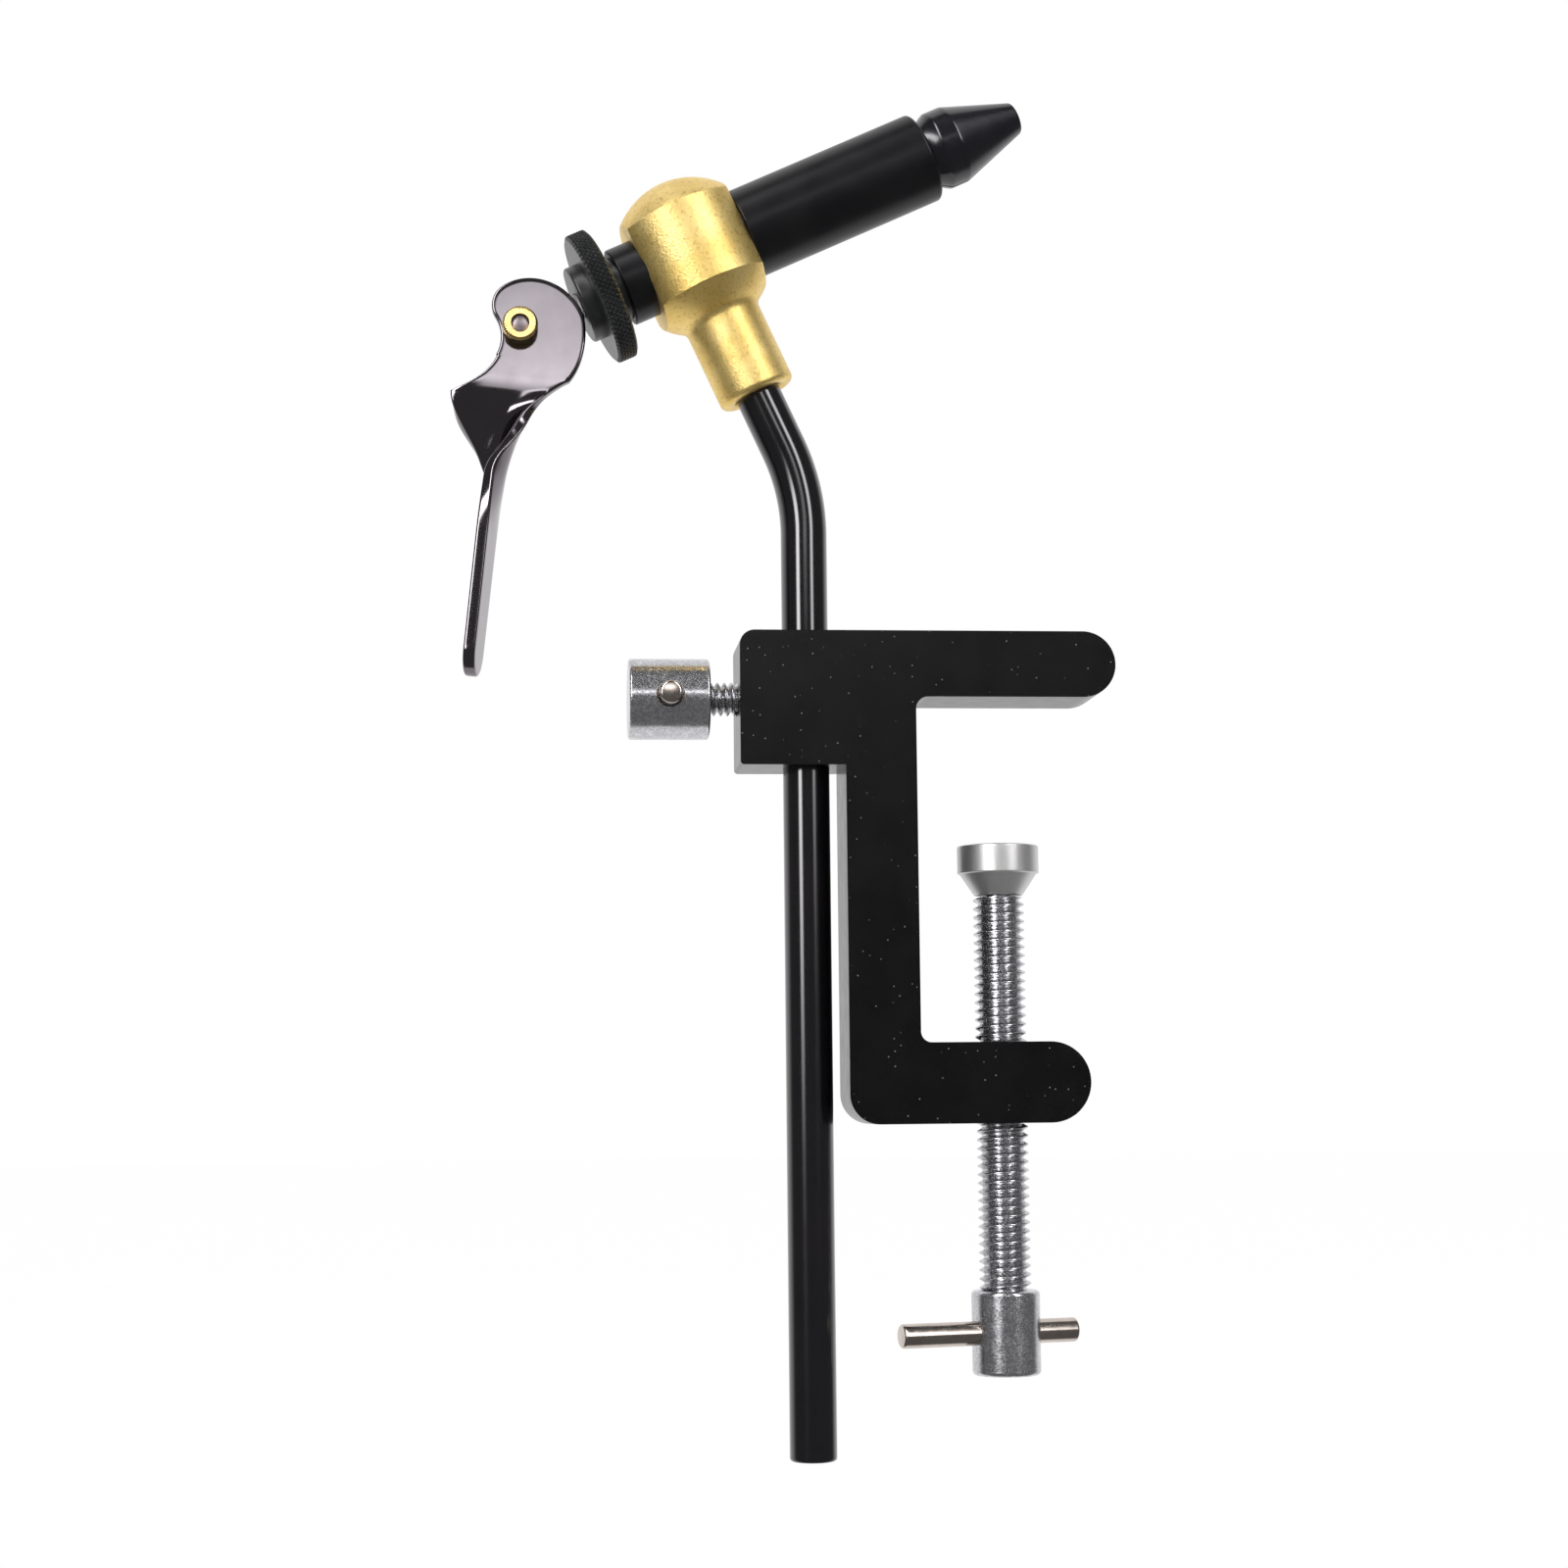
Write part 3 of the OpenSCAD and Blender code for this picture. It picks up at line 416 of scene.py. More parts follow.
class Form:
    """A closed shape in the making: a bmesh in millimetres."""

    def __init__(self) -> None:
        """Starts empty."""
        self.bm = bmesh.new()

    def turn(self, outline: list[Pair], steps: int = FINE, closed: bool = False) -> "Form":
        """Adds a body of revolution about Z.

        Args:
            outline: radius and height of each point.
            steps: number of sides.
            closed: joins the last point to the first, for a body with a bore.
        Returns:
            The form.
        """
        verts = [self.bm.verts.new((r, 0.0, z)) for r, z in outline]
        pairs = list(zip(verts, verts[1:])) + ([(verts[-1], verts[0])] if closed else [])
        edges = [self.bm.edges.new(pair) for pair in pairs]
        bmesh.ops.spin(self.bm, geom=verts + edges, cent=(0, 0, 0), axis=(0, 0, 1), angle=FULL_TURN,
                       steps=steps, use_merge=True, use_duplicate=False)
        return self.clean()

    def clean(self, gap: float = 1e-4) -> "Form":
        """Merges doubles and points the faces outwards.

        Args:
            gap: how near two corners lie to become one.
        Returns:
            The form.
        """
        bmesh.ops.remove_doubles(self.bm, verts=self.bm.verts, dist=gap)
        bmesh.ops.dissolve_degenerate(self.bm, edges=self.bm.edges, dist=gap)
        bmesh.ops.recalc_face_normals(self.bm, faces=self.bm.faces)
        return self

    def soften(self, width: float, segments: int = 3, sharper: float = 28.0, low: float = -math.inf,
               high: float = math.inf) -> "Form":
        """Rounds the sharp edges whose middle lies between two heights.

        Args:
            width: how far the rounding reaches from the edge.
            segments: its number of faces across.
            sharper: only edges that turn by more than this, in degrees.
            low: lowest height.
            high: highest height.
        Returns:
            The form.
        """
        limit = math.radians(sharper)
        edges = [e for e in self.bm.edges if e.is_manifold and e.calc_face_angle(0.0) > limit
                 and low < (e.verts[0].co.z + e.verts[1].co.z) / 2 < high]
        bmesh.ops.bevel(self.bm, geom=edges, affect="EDGES", offset=width, offset_type="OFFSET",
                        segments=segments, profile=0.5, material=-1, clamp_overlap=True)
        return self

    def cut(self, point: Triple, outward: Triple) -> list:
        """Cuts off what lies outward of a plane, and leaves the cut open.

        Args:
            point: a point of the plane.
            outward: its normal.
        Returns:
            The edges round the cut.
        """
        geometry = self.bm.verts[:] + self.bm.edges[:] + self.bm.faces[:]
        made = bmesh.ops.bisect_plane(self.bm, geom=geometry, plane_co=point, plane_no=outward,
                                      clear_outer=True)
        return picked(made["geom_cut"], bmesh.types.BMEdge)

    def slice(self, point: Triple, outward: Triple) -> "Form":
        """Cuts off what lies outward of a plane, and closes the cut."""
        bmesh.ops.triangle_fill(self.bm, edges=self.cut(point, outward), use_beauty=True, use_dissolve=True)
        return self.clean()

    def cylinder(self, radius: float, low: float, high: float, sides: int = SMALL) -> "Form":
        """Adds a plain cylinder about Z, from one height to another."""
        return self.turn([(0, low), (radius, low), (radius, high), (0, high)], sides)

    def block(self, size: Triple) -> "Form":
        """Adds a box of a given size with its middle at the origin."""
        bmesh.ops.create_cube(self.bm, size=1.0, matrix=Matrix.Diagonal((*size, 1)))
        return self

    def bar(self, diameter: float, length: float, edge: float) -> "Form":
        """Adds a round bar on z = 0 whose ends are rounded off."""
        return self.cylinder(diameter / 2, 0, length).soften(edge, 4, 40.0)

    def thread(self, diameter: float, root: float, pitch: float, low: float, high: float) -> "Form":
        """Adds a helical thread with its core, cut flat at two heights.

        Args:
            diameter: over the crests.
            root: radius at the bottom of the groove.
            pitch: rise in one turn.
            low: lower end.
            high: upper end.
        Returns:
            The form.
        """
        crest, sides = diameter / 2, TINY
        flank, brow = root + 0.3 * (crest - root), crest - 0.05
        shape = [(root, 0.0), (root, 0.10), (flank, 0.21), (brow, 0.41), (crest, 0.45),
                 (crest, 0.55), (brow, 0.59), (flank, 0.79), (root, 0.90), (root, 1.0)]
        turns = int((high - low) / pitch) + 3
        start = low - 1.5 * pitch
        verts = [self.bm.verts.new((r, 0.0, start + share * pitch)) for r, share in shape]
        edges = [self.bm.edges.new(pair) for pair in zip(verts, verts[1:])]
        bmesh.ops.spin(self.bm, geom=verts + edges, cent=(0, 0, 0), axis=(0, 0, 1), angle=turns * FULL_TURN,
                       steps=turns * sides, dvec=(0, 0, pitch / sides), use_merge=False, use_duplicate=False)
        bmesh.ops.remove_doubles(self.bm, verts=self.bm.verts, dist=1e-3)
        bmesh.ops.recalc_face_normals(self.bm, faces=self.bm.faces)
        for height, outward in ((low, -1), (high, 1)):
            bmesh.ops.edgeloop_fill(self.bm, edges=self.cut((0, 0, height), (0, 0, outward)))
        return self.clean()

    def move(self, matrix: Matrix) -> "Form":
        """Moves the whole form."""
        bmesh.ops.transform(self.bm, matrix=matrix, verts=self.bm.verts)
        return self

    def mesh(self, name: str, scale: float = 1.0) -> bpy.types.Mesh:
        """Writes the form to a mesh and frees it.

        Args:
            name: the mesh's name.
            scale: what the form is scaled by first.
        Returns:
            The mesh.
        """
        data = bpy.data.meshes.new(name)
        bmesh.ops.scale(self.bm, vec=(scale, scale, scale), verts=self.bm.verts)
        self.bm.to_mesh(data)
        self.bm.free()
        return data

    def carve(self, *cutters: "Form") -> "Form":
        """Takes other forms out of this one.

        Args:
            cutters: the forms to take out; they are used up.
        Returns:
            The form.
        """
        scene = bpy.context.scene.collection
        body = bpy.data.objects.new("body", self.mesh("body"))
        scene.objects.link(body)
        tools = []
        for cutter in cutters:
            tool = bpy.data.objects.new("tool", cutter.mesh("tool"))
            scene.objects.link(tool)
            step = body.modifiers.new("cut", "BOOLEAN")
            step.operation, step.solver, step.object = "DIFFERENCE", "EXACT", tool
            tools.append(tool)
        graph = bpy.context.evaluated_depsgraph_get()
        result = bpy.data.meshes.new_from_object(body.evaluated_get(graph))
        self.bm = bmesh.new()
        self.bm.from_mesh(result)
        for spare in (body, *tools):
            data = spare.data
            bpy.data.objects.remove(spare)
            bpy.data.meshes.remove(data)
        bpy.data.meshes.remove(result)
        return self.clean()

    def join(self, other: "Form") -> "Form":
        """Adds another form's faces to this one.

        Args:
            other: the other form, which is used up.
        Returns:
            The form.
        """
        data = other.mesh("join")
        self.bm.from_mesh(data)
        bpy.data.meshes.remove(data)
        return self


class Bench:
    """Turns forms and CAD nodes into finished pieces."""

    AREA_WEIGHT = 60

    def __init__(self) -> None:
        """Starts with no pieces made."""
        self.made: list[str] = []

    def piece(self, name: str, form: Form, node: str, body: str, slot: str, paint: Paint,
              sharp: float = 32.0) -> bpy.types.Object:
        """Makes a piece that stands for a CAD node.

        Args:
            name: the piece's name.
            form: its shape, in millimetres in the row frame.
            node: the CAD node that it replaces.
            body: the body that it rides on.
            slot: a material slot name; not used.
            paint: its finish.
            sharp: edges that turn by more than this, in degrees, stay sharp.
        Returns:
            The object.
        """
        limit = math.radians(sharp)
        for face in form.bm.faces:
            face.smooth = True
        for edge in form.bm.edges:
            edge.smooth = edge.is_manifold and edge.calc_face_angle(0.0) < limit
        piece = bpy.data.objects.new(name, form.mesh(name, MM))
        bpy.context.scene.collection.objects.link(piece)
        piece.data.materials.append(paint.value.build())
        weighted = piece.modifiers.new("weighted_normals", "WEIGHTED_NORMAL")
        weighted.keep_sharp = True
        weighted.weight = self.AREA_WEIGHT
        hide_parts(node)
        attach(piece, body)
        self.made.append(name)
        LOG.info("%s stands for %s on %s: %d faces", name, node, body, len(piece.data.polygons))
        return piece

    def dress(self, node: str, paint: Paint) -> None:
        """Gives a CAD node its finish and keeps its solid.

        Args:
            node: the CAD node.
            paint: its finish.
        """
        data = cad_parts[node].data
        data.materials.clear()
        data.materials.append(paint.value.build())
        LOG.info("%s keeps its solid", node)


# Sub-assemblies, in millimetres


@dataclass
class Axes:
    """Where the stem, the head and the barrel lie."""

    stem_x: float = -35.9
    bend_z: float = 40.5
    bend_r: float = 40.0
    tilt: float = math.radians(24.7)
    rise: float = 49.3
    stop: float = 12.5

    def head(self) -> Matrix:
        """Puts the origin at the head's centre, with +X along the barrel."""
        x, z = self.stem_x - self.rise * math.sin(self.tilt), self.bend_z + self.rise * math.cos(self.tilt)
        return shift(x, 0, z) @ Matrix.Rotation(-self.tilt, 4, "Y")

    def barrel(self) -> Matrix:
        """Puts Z onto the barrel's axis, towards the jaws."""
        return self.head() @ TO_RIGHT

    def pivot(self, along: float) -> Matrix:
        """Puts the origin at a place on the barrel's axis, with level directions."""
        return Matrix.Translation(self.head() @ Vector((along, 0, 0)))


@dataclass
class Clamp:
    """The frame, its screw and the pad."""

    thick: float = 16.0
    edge: float = 0.35
    corners: tuple = (  # across, height and radius of each
        (-48.8, 12.4, 2.8), (21.6, 12.4, 6.19), (21.6, 0.0, 6.19), (-16.1, 0.0, 2.3),
        (-16.1, -63.85, 2.0), (15.3, -63.85, 7.42), (15.3, -78.7, 7.42), (-29.3, -78.7, 5.5),
        (-29.3, -12.7, 0.0), (-48.8, -12.7, 0.7),
    )
    corner_steps: int = 16
    hole_play: float = 0.1
    stem_hole: Pair = (-20.0, 40.0)  # where each cutter starts, and its length
    lock_hole: Pair = (-50.0, 14.0)
    screw_hole: Pair = (-80.0, 20.0)
    thread_d: float = 9.525
    thread_root: float = 3.86
    pitch: float = 1.5875
    thread_low: float = -109.3
    thread_high: float = -36.9
    neck_r: float = 2.75
    neck_top: float = -29.8
    neck_sunk: float = 0.5
    thread_sunk: float = 0.3
    head_h: float = 15.4
    head_d: float = 12.6
    head_edge: float = 0.8
    drilled_edge: float = 0.22
    bar_d: float = 4.45
    bar_edge: float = 0.45
    bar_play: float = 0.03
    bar_l: float = 35.0
    bar_shift: float = 3.4
    bar_turn: float = math.radians(15)
    pad_outline: tuple = ((2.8, -36.5), (4.5, -36.5), (7.2, -32.4), (7.6, -32.4), (7.6, -27.2), (0, -27.2),
                          (0, -29.7), (2.8, -29.7))
    pad_rim: float = -32.0  # edges above it are the rim's, those below the next height the cone's
    pad_cone: float = -31.0
    pad_edges: Pair = (0.35, 0.2)

    def outline(self) -> Form:
        """The frame's bar: corners rounded one by one, then given its thickness.

        Returns:
            The solid form.
        """
        form = Form()
        bm = form.bm
        verts = [bm.verts.new((x, -self.thick / 2, z)) for x, z, _ in self.corners]
        bm.faces.new(verts)
        for radius in sorted({r for _, _, r in self.corners if r}):
            group = [v for v, (_, _, r) in zip(verts, self.corners) if r == radius]
            bmesh.ops.bevel(bm, geom=group, affect="VERTICES", offset=radius, offset_type="OFFSET",
                            segments=self.corner_steps, profile=0.5, material=-1, clamp_overlap=False)
        bmesh.ops.remove_doubles(bm, verts=bm.verts, dist=0.03)
        grown = bmesh.ops.extrude_face_region(bm, geom=bm.faces[:])["geom"]
        bmesh.ops.translate(bm, verts=picked(grown, bmesh.types.BMVert), vec=(0, self.thick, 0))
        return form.clean()

    def frame(self, stem: "Stem") -> Form:
        """The frame with its three holes and its edges broken.

        Args:
            stem: the stem, for the places and sizes of its holes.
        Returns:
            The solid form.
        """
        holes = ((shift(stem.axes.stem_x, 0, self.stem_hole[0]), stem.rod_d, self.stem_hole[1]),
                 (shift(self.lock_hole[0], 0, stem.lock_z) @ TO_RIGHT, stem.lock_thread_d, self.lock_hole[1]),
                 (shift(0, 0, self.screw_hole[0]), self.thread_d, self.screw_hole[1]))
        cutters = [Form().cylinder((diameter + self.hole_play) / 2, 0, length, MEDIUM).move(place)
                   for place, diameter, length in holes]
        return self.outline().carve(*cutters).soften(self.edge, 3, 30.0)

    def screw(self) -> Form:
        """Thread, neck and drilled head in one.

        Returns:
            The form.
        """
        foot, reach = self.thread_low - self.head_h, 9
        turn = Matrix.Rotation(self.bar_turn, 4, "Z") @ TO_RIGHT
        hole = Form().cylinder(self.bar_d / 2 + self.bar_play, -reach, reach)
        hole.move(shift(z=foot + self.head_h / 2) @ turn)
        head = Form().cylinder(self.head_d / 2, foot, self.thread_low, FINE)
        head.soften(self.head_edge, 5, 40.0).carve(hole).soften(self.drilled_edge, 2, 40.0)
        head.join(Form().thread(self.thread_d, self.thread_root, self.pitch, self.thread_low - self.thread_sunk,
                                self.thread_high))
        return head.join(Form().cylinder(self.neck_r, self.thread_high - self.neck_sunk, self.neck_top))

    def bar(self) -> Form:
        """The cross bar, pushed to the left.

        Returns:
            The solid form.
        """
        middle = shift(z=self.thread_low - self.head_h / 2) @ Matrix.Rotation(self.bar_turn, 4, "Z")
        slide = shift(-self.bar_l / 2 - self.bar_shift) @ TO_RIGHT
        return Form().bar(self.bar_d, self.bar_l, self.bar_edge).move(middle @ slide)

    def pad(self) -> Form:
        """The turned pad, hollow over the screw's neck.

        Returns:
            The solid form.
        """
        form = Form().turn(list(self.pad_outline), FINE, closed=True)
        form.soften(self.pad_edges[0], 4, 40.0, low=self.pad_rim)
        return form.soften(self.pad_edges[1], 2, 40.0, high=self.pad_cone)

    def build(self, bench: Bench, stem: "Stem") -> None:
        """Makes the clamp's pieces.

        Args:
            bench: the bench that finishes them.
            stem: the stem that the frame holds.
        """
        bench.piece("clamp_frame_body", self.frame(stem), "clamp_frame", "frame", "frame_black", Paint.FRAME)
        bench.piece("clamp_screw_thread", self.screw(), "clamp_screw", "clamp_screw", "zinc_screw",
                    Paint.ZINC, 50.0)
        bench.piece("clamp_bar", self.bar(), "clamp_screw_bar", "clamp_screw", "nickel_bar", Paint.NICKEL)
        bench.piece("clamp_pad_turned", self.pad(), "clamp_pad", "pad", "turned_steel", Paint.TURNED)
        bench.dress("pad_ring", Paint.SPRING)


@dataclass
class Stem:
    """The bent rod and the screw that locks it."""

    axes: Axes
    rod_d: float = 8.7
    drop: float = 139.5
    end_edge: float = 0.7
    lock_z: float = 0.4
    lock_thread_d: float = 6.35
    lock_root: float = 2.475
    lock_pitch: float = 1.27
    lock_tip: float = -40.35
    lock_head: float = -54.1
    lock_head_l: float = 15.0
    lock_head_d: float = 15.1
    lock_bar_d: float = 4.35
    lock_bar_l: float = 22.0
    lock_bar_edge: float = 0.6
    lock_edge: float = 0.5
    lock_dish: float = 0.5
    drilled_edge: float = 0.15
    thread_sunk: float = 0.3
    bar_play: float = 0.03
    rings: tuple[int, int, int] = (12, 28, 4)  # along the straight part, round the bend, up the leg

    def rod(self) -> Form:
        """A disc drawn up, round the bend and up the leaning leg.

        Returns:
            The solid form.
        """
        form = Form()
        bm = form.bm
        axes = self.axes
        bend = axes.bend_r * math.tan(axes.tilt / 2)
        low = axes.bend_z - bend
        place = shift(axes.stem_x, 0, -self.drop)
        made = bmesh.ops.create_circle(bm, cap_ends=True, segments=MEDIUM, radius=self.rod_d / 2,
                                       matrix=place)
        rim = list({e for v in made["verts"] for e in v.link_edges})
        rim = self.draw(bm, rim, Vector((0, 0, low + self.drop)), self.rings[0])
        spun = bmesh.ops.spin(bm, geom=rim + list({v for e in rim for v in e.verts}), steps=self.rings[1],
                              angle=axes.tilt, cent=(axes.stem_x - axes.bend_r, 0, low), axis=(0, -1, 0),
                              use_merge=False, use_duplicate=False)
        leg = axes.head().to_3x3() @ Vector((0, 0, 1)) * (axes.rise - bend - axes.stop)
        rim = self.draw(bm, picked(spun["geom_last"], bmesh.types.BMEdge), leg, self.rings[2])
        bmesh.ops.edgeloop_fill(bm, edges=rim)
        return form.clean().soften(self.end_edge, 4, 40.0, high=0.0)

    def draw(self, bm: bmesh.types.BMesh, rim: list, way: Vector, steps: int) -> list:
        """Draws a ring of edges along a straight way.

        Args:
            bm: the mesh.
            rim: the ring's edges.
            way: the whole move.
            steps: number of rings.
        Returns:
            The last ring's edges.
        """
        for _ in range(steps):
            grown = bmesh.ops.extrude_edge_only(bm, edges=rim)["geom"]
            bmesh.ops.translate(bm, verts=picked(grown, bmesh.types.BMVert), vec=way / steps)
            rim = [e for e in picked(grown, bmesh.types.BMEdge) if all(v in grown for v in e.verts)]
        return rim

    def lock_screw(self) -> Form:
        """Thread and drilled head, lying along X.

        Returns:
            The form.
        """
        r, rim, dish = self.lock_head_d / 2, self.lock_bar_d / 2 + self.bar_play, self.lock_dish
        half, wide = r + 1.0, rim + dish + 1.0
        head = Form().cylinder(r, -self.lock_head_l, 0, FINE).soften(self.lock_edge, 4, 40.0)
        outline = [(0, -half), (wide, -half), (rim, dish - r), (rim, r - dish), (wide, half), (0, half)]
        hole = Form().turn(outline, SMALL)
        hole.move(shift(z=-self.lock_head_l / 2) @ TO_FRONT)
        head.carve(hole).soften(self.drilled_edge, 2, 34.0)
        length = self.lock_tip - self.lock_head
        head.join(Form().thread(self.lock_thread_d, self.lock_root, self.lock_pitch, -self.thread_sunk, length))
        return head.move(shift(self.lock_head, 0, self.lock_z) @ TO_RIGHT)

    def lock_bar(self) -> Form:
        """The lock screw's cross bar, end on to the viewer."""
        place = shift(self.lock_head - self.lock_head_l / 2, self.lock_bar_l / 2, self.lock_z) @ TO_FRONT
        return Form().bar(self.lock_bar_d, self.lock_bar_l, self.lock_bar_edge).move(place)

    def build(self, bench: Bench) -> None:
        """Makes the stem's pieces.

        Args:
            bench: the bench that finishes them.
        """
        bench.piece("stem_rod", self.rod(), "stem", "stem", "stem_black", Paint.STEM)
        bench.piece("lock_screw_thread", self.lock_screw(), "lock_screw", "lock_screw", "zinc_screw",
                    Paint.ZINC, 50.0)
        bench.piece("lock_bar", self.lock_bar(), "lock_screw_bar", "lock_screw", "nickel_bar", Paint.NICKEL)


@dataclass
class Head:
    """The gold head and the small pieces in it."""

    axes: Axes
    ball_r: float = 14.9
    band_r: float = 12.6
    neck_r: float = 7.4
    neck_drop: float = 29.4
    flat: float = 10.3
    fillet: float = 2.0
    bore_r: float = 7.55
    socket_r: float = 4.37
    set_r: float = 2.02
    pin_r: float = 1.27
    pin_drop: float = 20.95
    cutter: float = 20.0
    arcs: tuple[int, int, int] = (24, 18, 10)  # steps above the band, below it and round the fillet
    sides: int = 160
    rim: float = 1.1
    edge: float = 0.28

    def outline(self) -> list[Pair]:
        """Half the ball and neck, from the top down.

        Returns:
            Radius and height of each point.
        """
        band_z = math.sqrt(self.ball_r ** 2 - self.band_r ** 2)
        points = [(0.0, self.ball_r)]
        first = math.acos(band_z / self.ball_r)
        for turn in spaced(0.0, first, self.arcs[0])[1:]:
            points.append((self.ball_r * math.sin(turn), self.ball_r * math.cos(turn)))
        points.append((self.band_r, -band_z))
        reach = self.neck_r + self.fillet
        low = -math.sqrt((self.ball_r + self.fillet) ** 2 - reach ** 2)
        for turn in spaced(first, math.acos(-low / (self.ball_r + self.fillet)), self.arcs[1])[1:]:
            points.append((self.ball_r * math.sin(turn), -self.ball_r * math.cos(turn)))
        for turn in spaced(math.atan2(-low, -reach), math.pi, self.arcs[2])[1:]:
            points.append((reach + self.fillet * math.cos(turn), low + self.fillet * math.sin(turn)))
        return points + [(self.neck_r, -self.neck_drop), (0.0, -self.neck_drop)]

    def ball(self) -> Form:
        """Turned, flattened on two sides and bored.

        Returns:
            The solid form.
        """
        form = Form().turn(self.outline(), self.sides)
        form.slice((self.flat, 0, 0), (1, 0, 0)).slice((-self.flat, 0, 0), (-1, 0, 0))
        bore = Form().cylinder(self.bore_r, -self.cutter, self.cutter, FINE).move(TO_RIGHT)
        socket = Form().cylinder(self.socket_r, -2 * self.cutter, -self.axes.stop, MEDIUM)
        set_hole = Form().cylinder(self.set_r, 0, self.cutter, TINY).move(TO_BACK)
        pin_hole = Form().cylinder(self.pin_r, 0, self.cutter, TINY).move(shift(z=-self.pin_drop) @ TO_BACK)
        form.carve(bore, socket, set_hole, pin_hole)
        form.soften(self.rim, 5, 50.0, low=-self.neck_drop - 0.1, high=-self.neck_drop + 0.1)
        return form.soften(self.edge, 3, 26.0)

    def build(self, bench: Bench) -> None:
        """Makes the head's pieces.

        Args:
            bench: the bench that finishes them.
        """
        form = self.ball().move(self.axes.head())
        bench.piece("head_ball", form, "head", "stem", "head_gold", Paint.GOLD)
        bench.dress("stem_pin", Paint.DARK_STEEL)
        bench.dress("head_set_screw", Paint.DARK_STEEL)
        bench.dress("friction_pad", Paint.NYLON)


@dataclass
class Barrel:
    """The stepped tube, the jaws in its mouth and what draws them."""

    axes: Axes
    front_r: float = 8.65
    rear_r: float = 7.5
    step: float = 10.4
    front: float = 49.05
    rear: float = -15.15
    bore_r: float = 5.75
    nut_bore_r: float = 6.05
    web_low: float = -2.15
    web_high: float = 0.85
    web_r: float = 2.45
    mouth: Pair = (0.5, 1.0)  # how much wider and how deep
    mouth_edge: float = 0.75
    edge: float = 0.3
    jaw_outline: tuple = ((0, 18.05), (5.7, 18.05), (5.7, 48.5), (7.6, 51.9), (7.6, 55.3), (3.0, 68.9),
                          (0, 68.9))
    jaw_edges: tuple = (  # width, faces across, sharpness, lowest and highest of each rounding
        (0.55, 5, 40.0, 68.0, 70.0), (0.3, 4, 15.0, 51.0, 56.0), (0.3, 2, 40.0, 18.0, 19.0),
    )
    slot_size: Triple = (30, 0.5, 60)
    slot_end: float = 26.05
    eye_r: float = 1.0

    def tube(self) -> Form:
        """The barrel, with both bores and the web between them.

        Returns:
            The solid form.
        """
        wider, deep = self.mouth
        outline = [(self.nut_bore_r, self.rear), (self.rear_r, self.rear), (self.rear_r, self.step),
                   (self.front_r, self.step), (self.front_r, self.front), (self.bore_r + wider, self.front),
                   (self.bore_r, self.front - deep), (self.bore_r, self.web_high),
                   (self.web_r, self.web_high), (self.web_r, self.web_low), (self.nut_bore_r, self.web_low)]
        form = Form().turn(outline, FINE, closed=True)
        form.soften(self.mouth_edge, 5, 60.0, low=self.front - 0.01)
        return form.soften(self.edge, 3, 40.0, high=self.step + 0.01)

    def jaws(self) -> Form:
        """The collet: shank, seat cone, jaws and the slot between them.

        Returns:
            The solid form.
        """
        form = Form().turn(list(self.jaw_outline))
        for rounding in self.jaw_edges:
            form.soften(*rounding)
        slot = Form().block(self.slot_size).move(shift(z=self.slot_end + self.slot_size[2] / 2))
        eye = Form().cylinder(self.eye_r, -15, 15, TINY).move(shift(z=self.slot_end) @ TO_RIGHT)
        return form.carve(slot, eye)

    def build(self, bench: Bench) -> None:
        """Makes the barrel's pieces.

        Args:
            bench: the bench that finishes them.
        """
        place = self.axes.barrel()
        bench.piece("barrel_tube", self.tube().move(place), "barrel", "barrel", "barrel_black", Paint.BARREL)
        bench.piece("collet_jaws", self.jaws().move(place), "collet", "draw", "jaw_black", Paint.JAWS)
        bench.dress("draw_rod", Paint.TURNED)
        bench.dress("return_spring", Paint.SPRING)


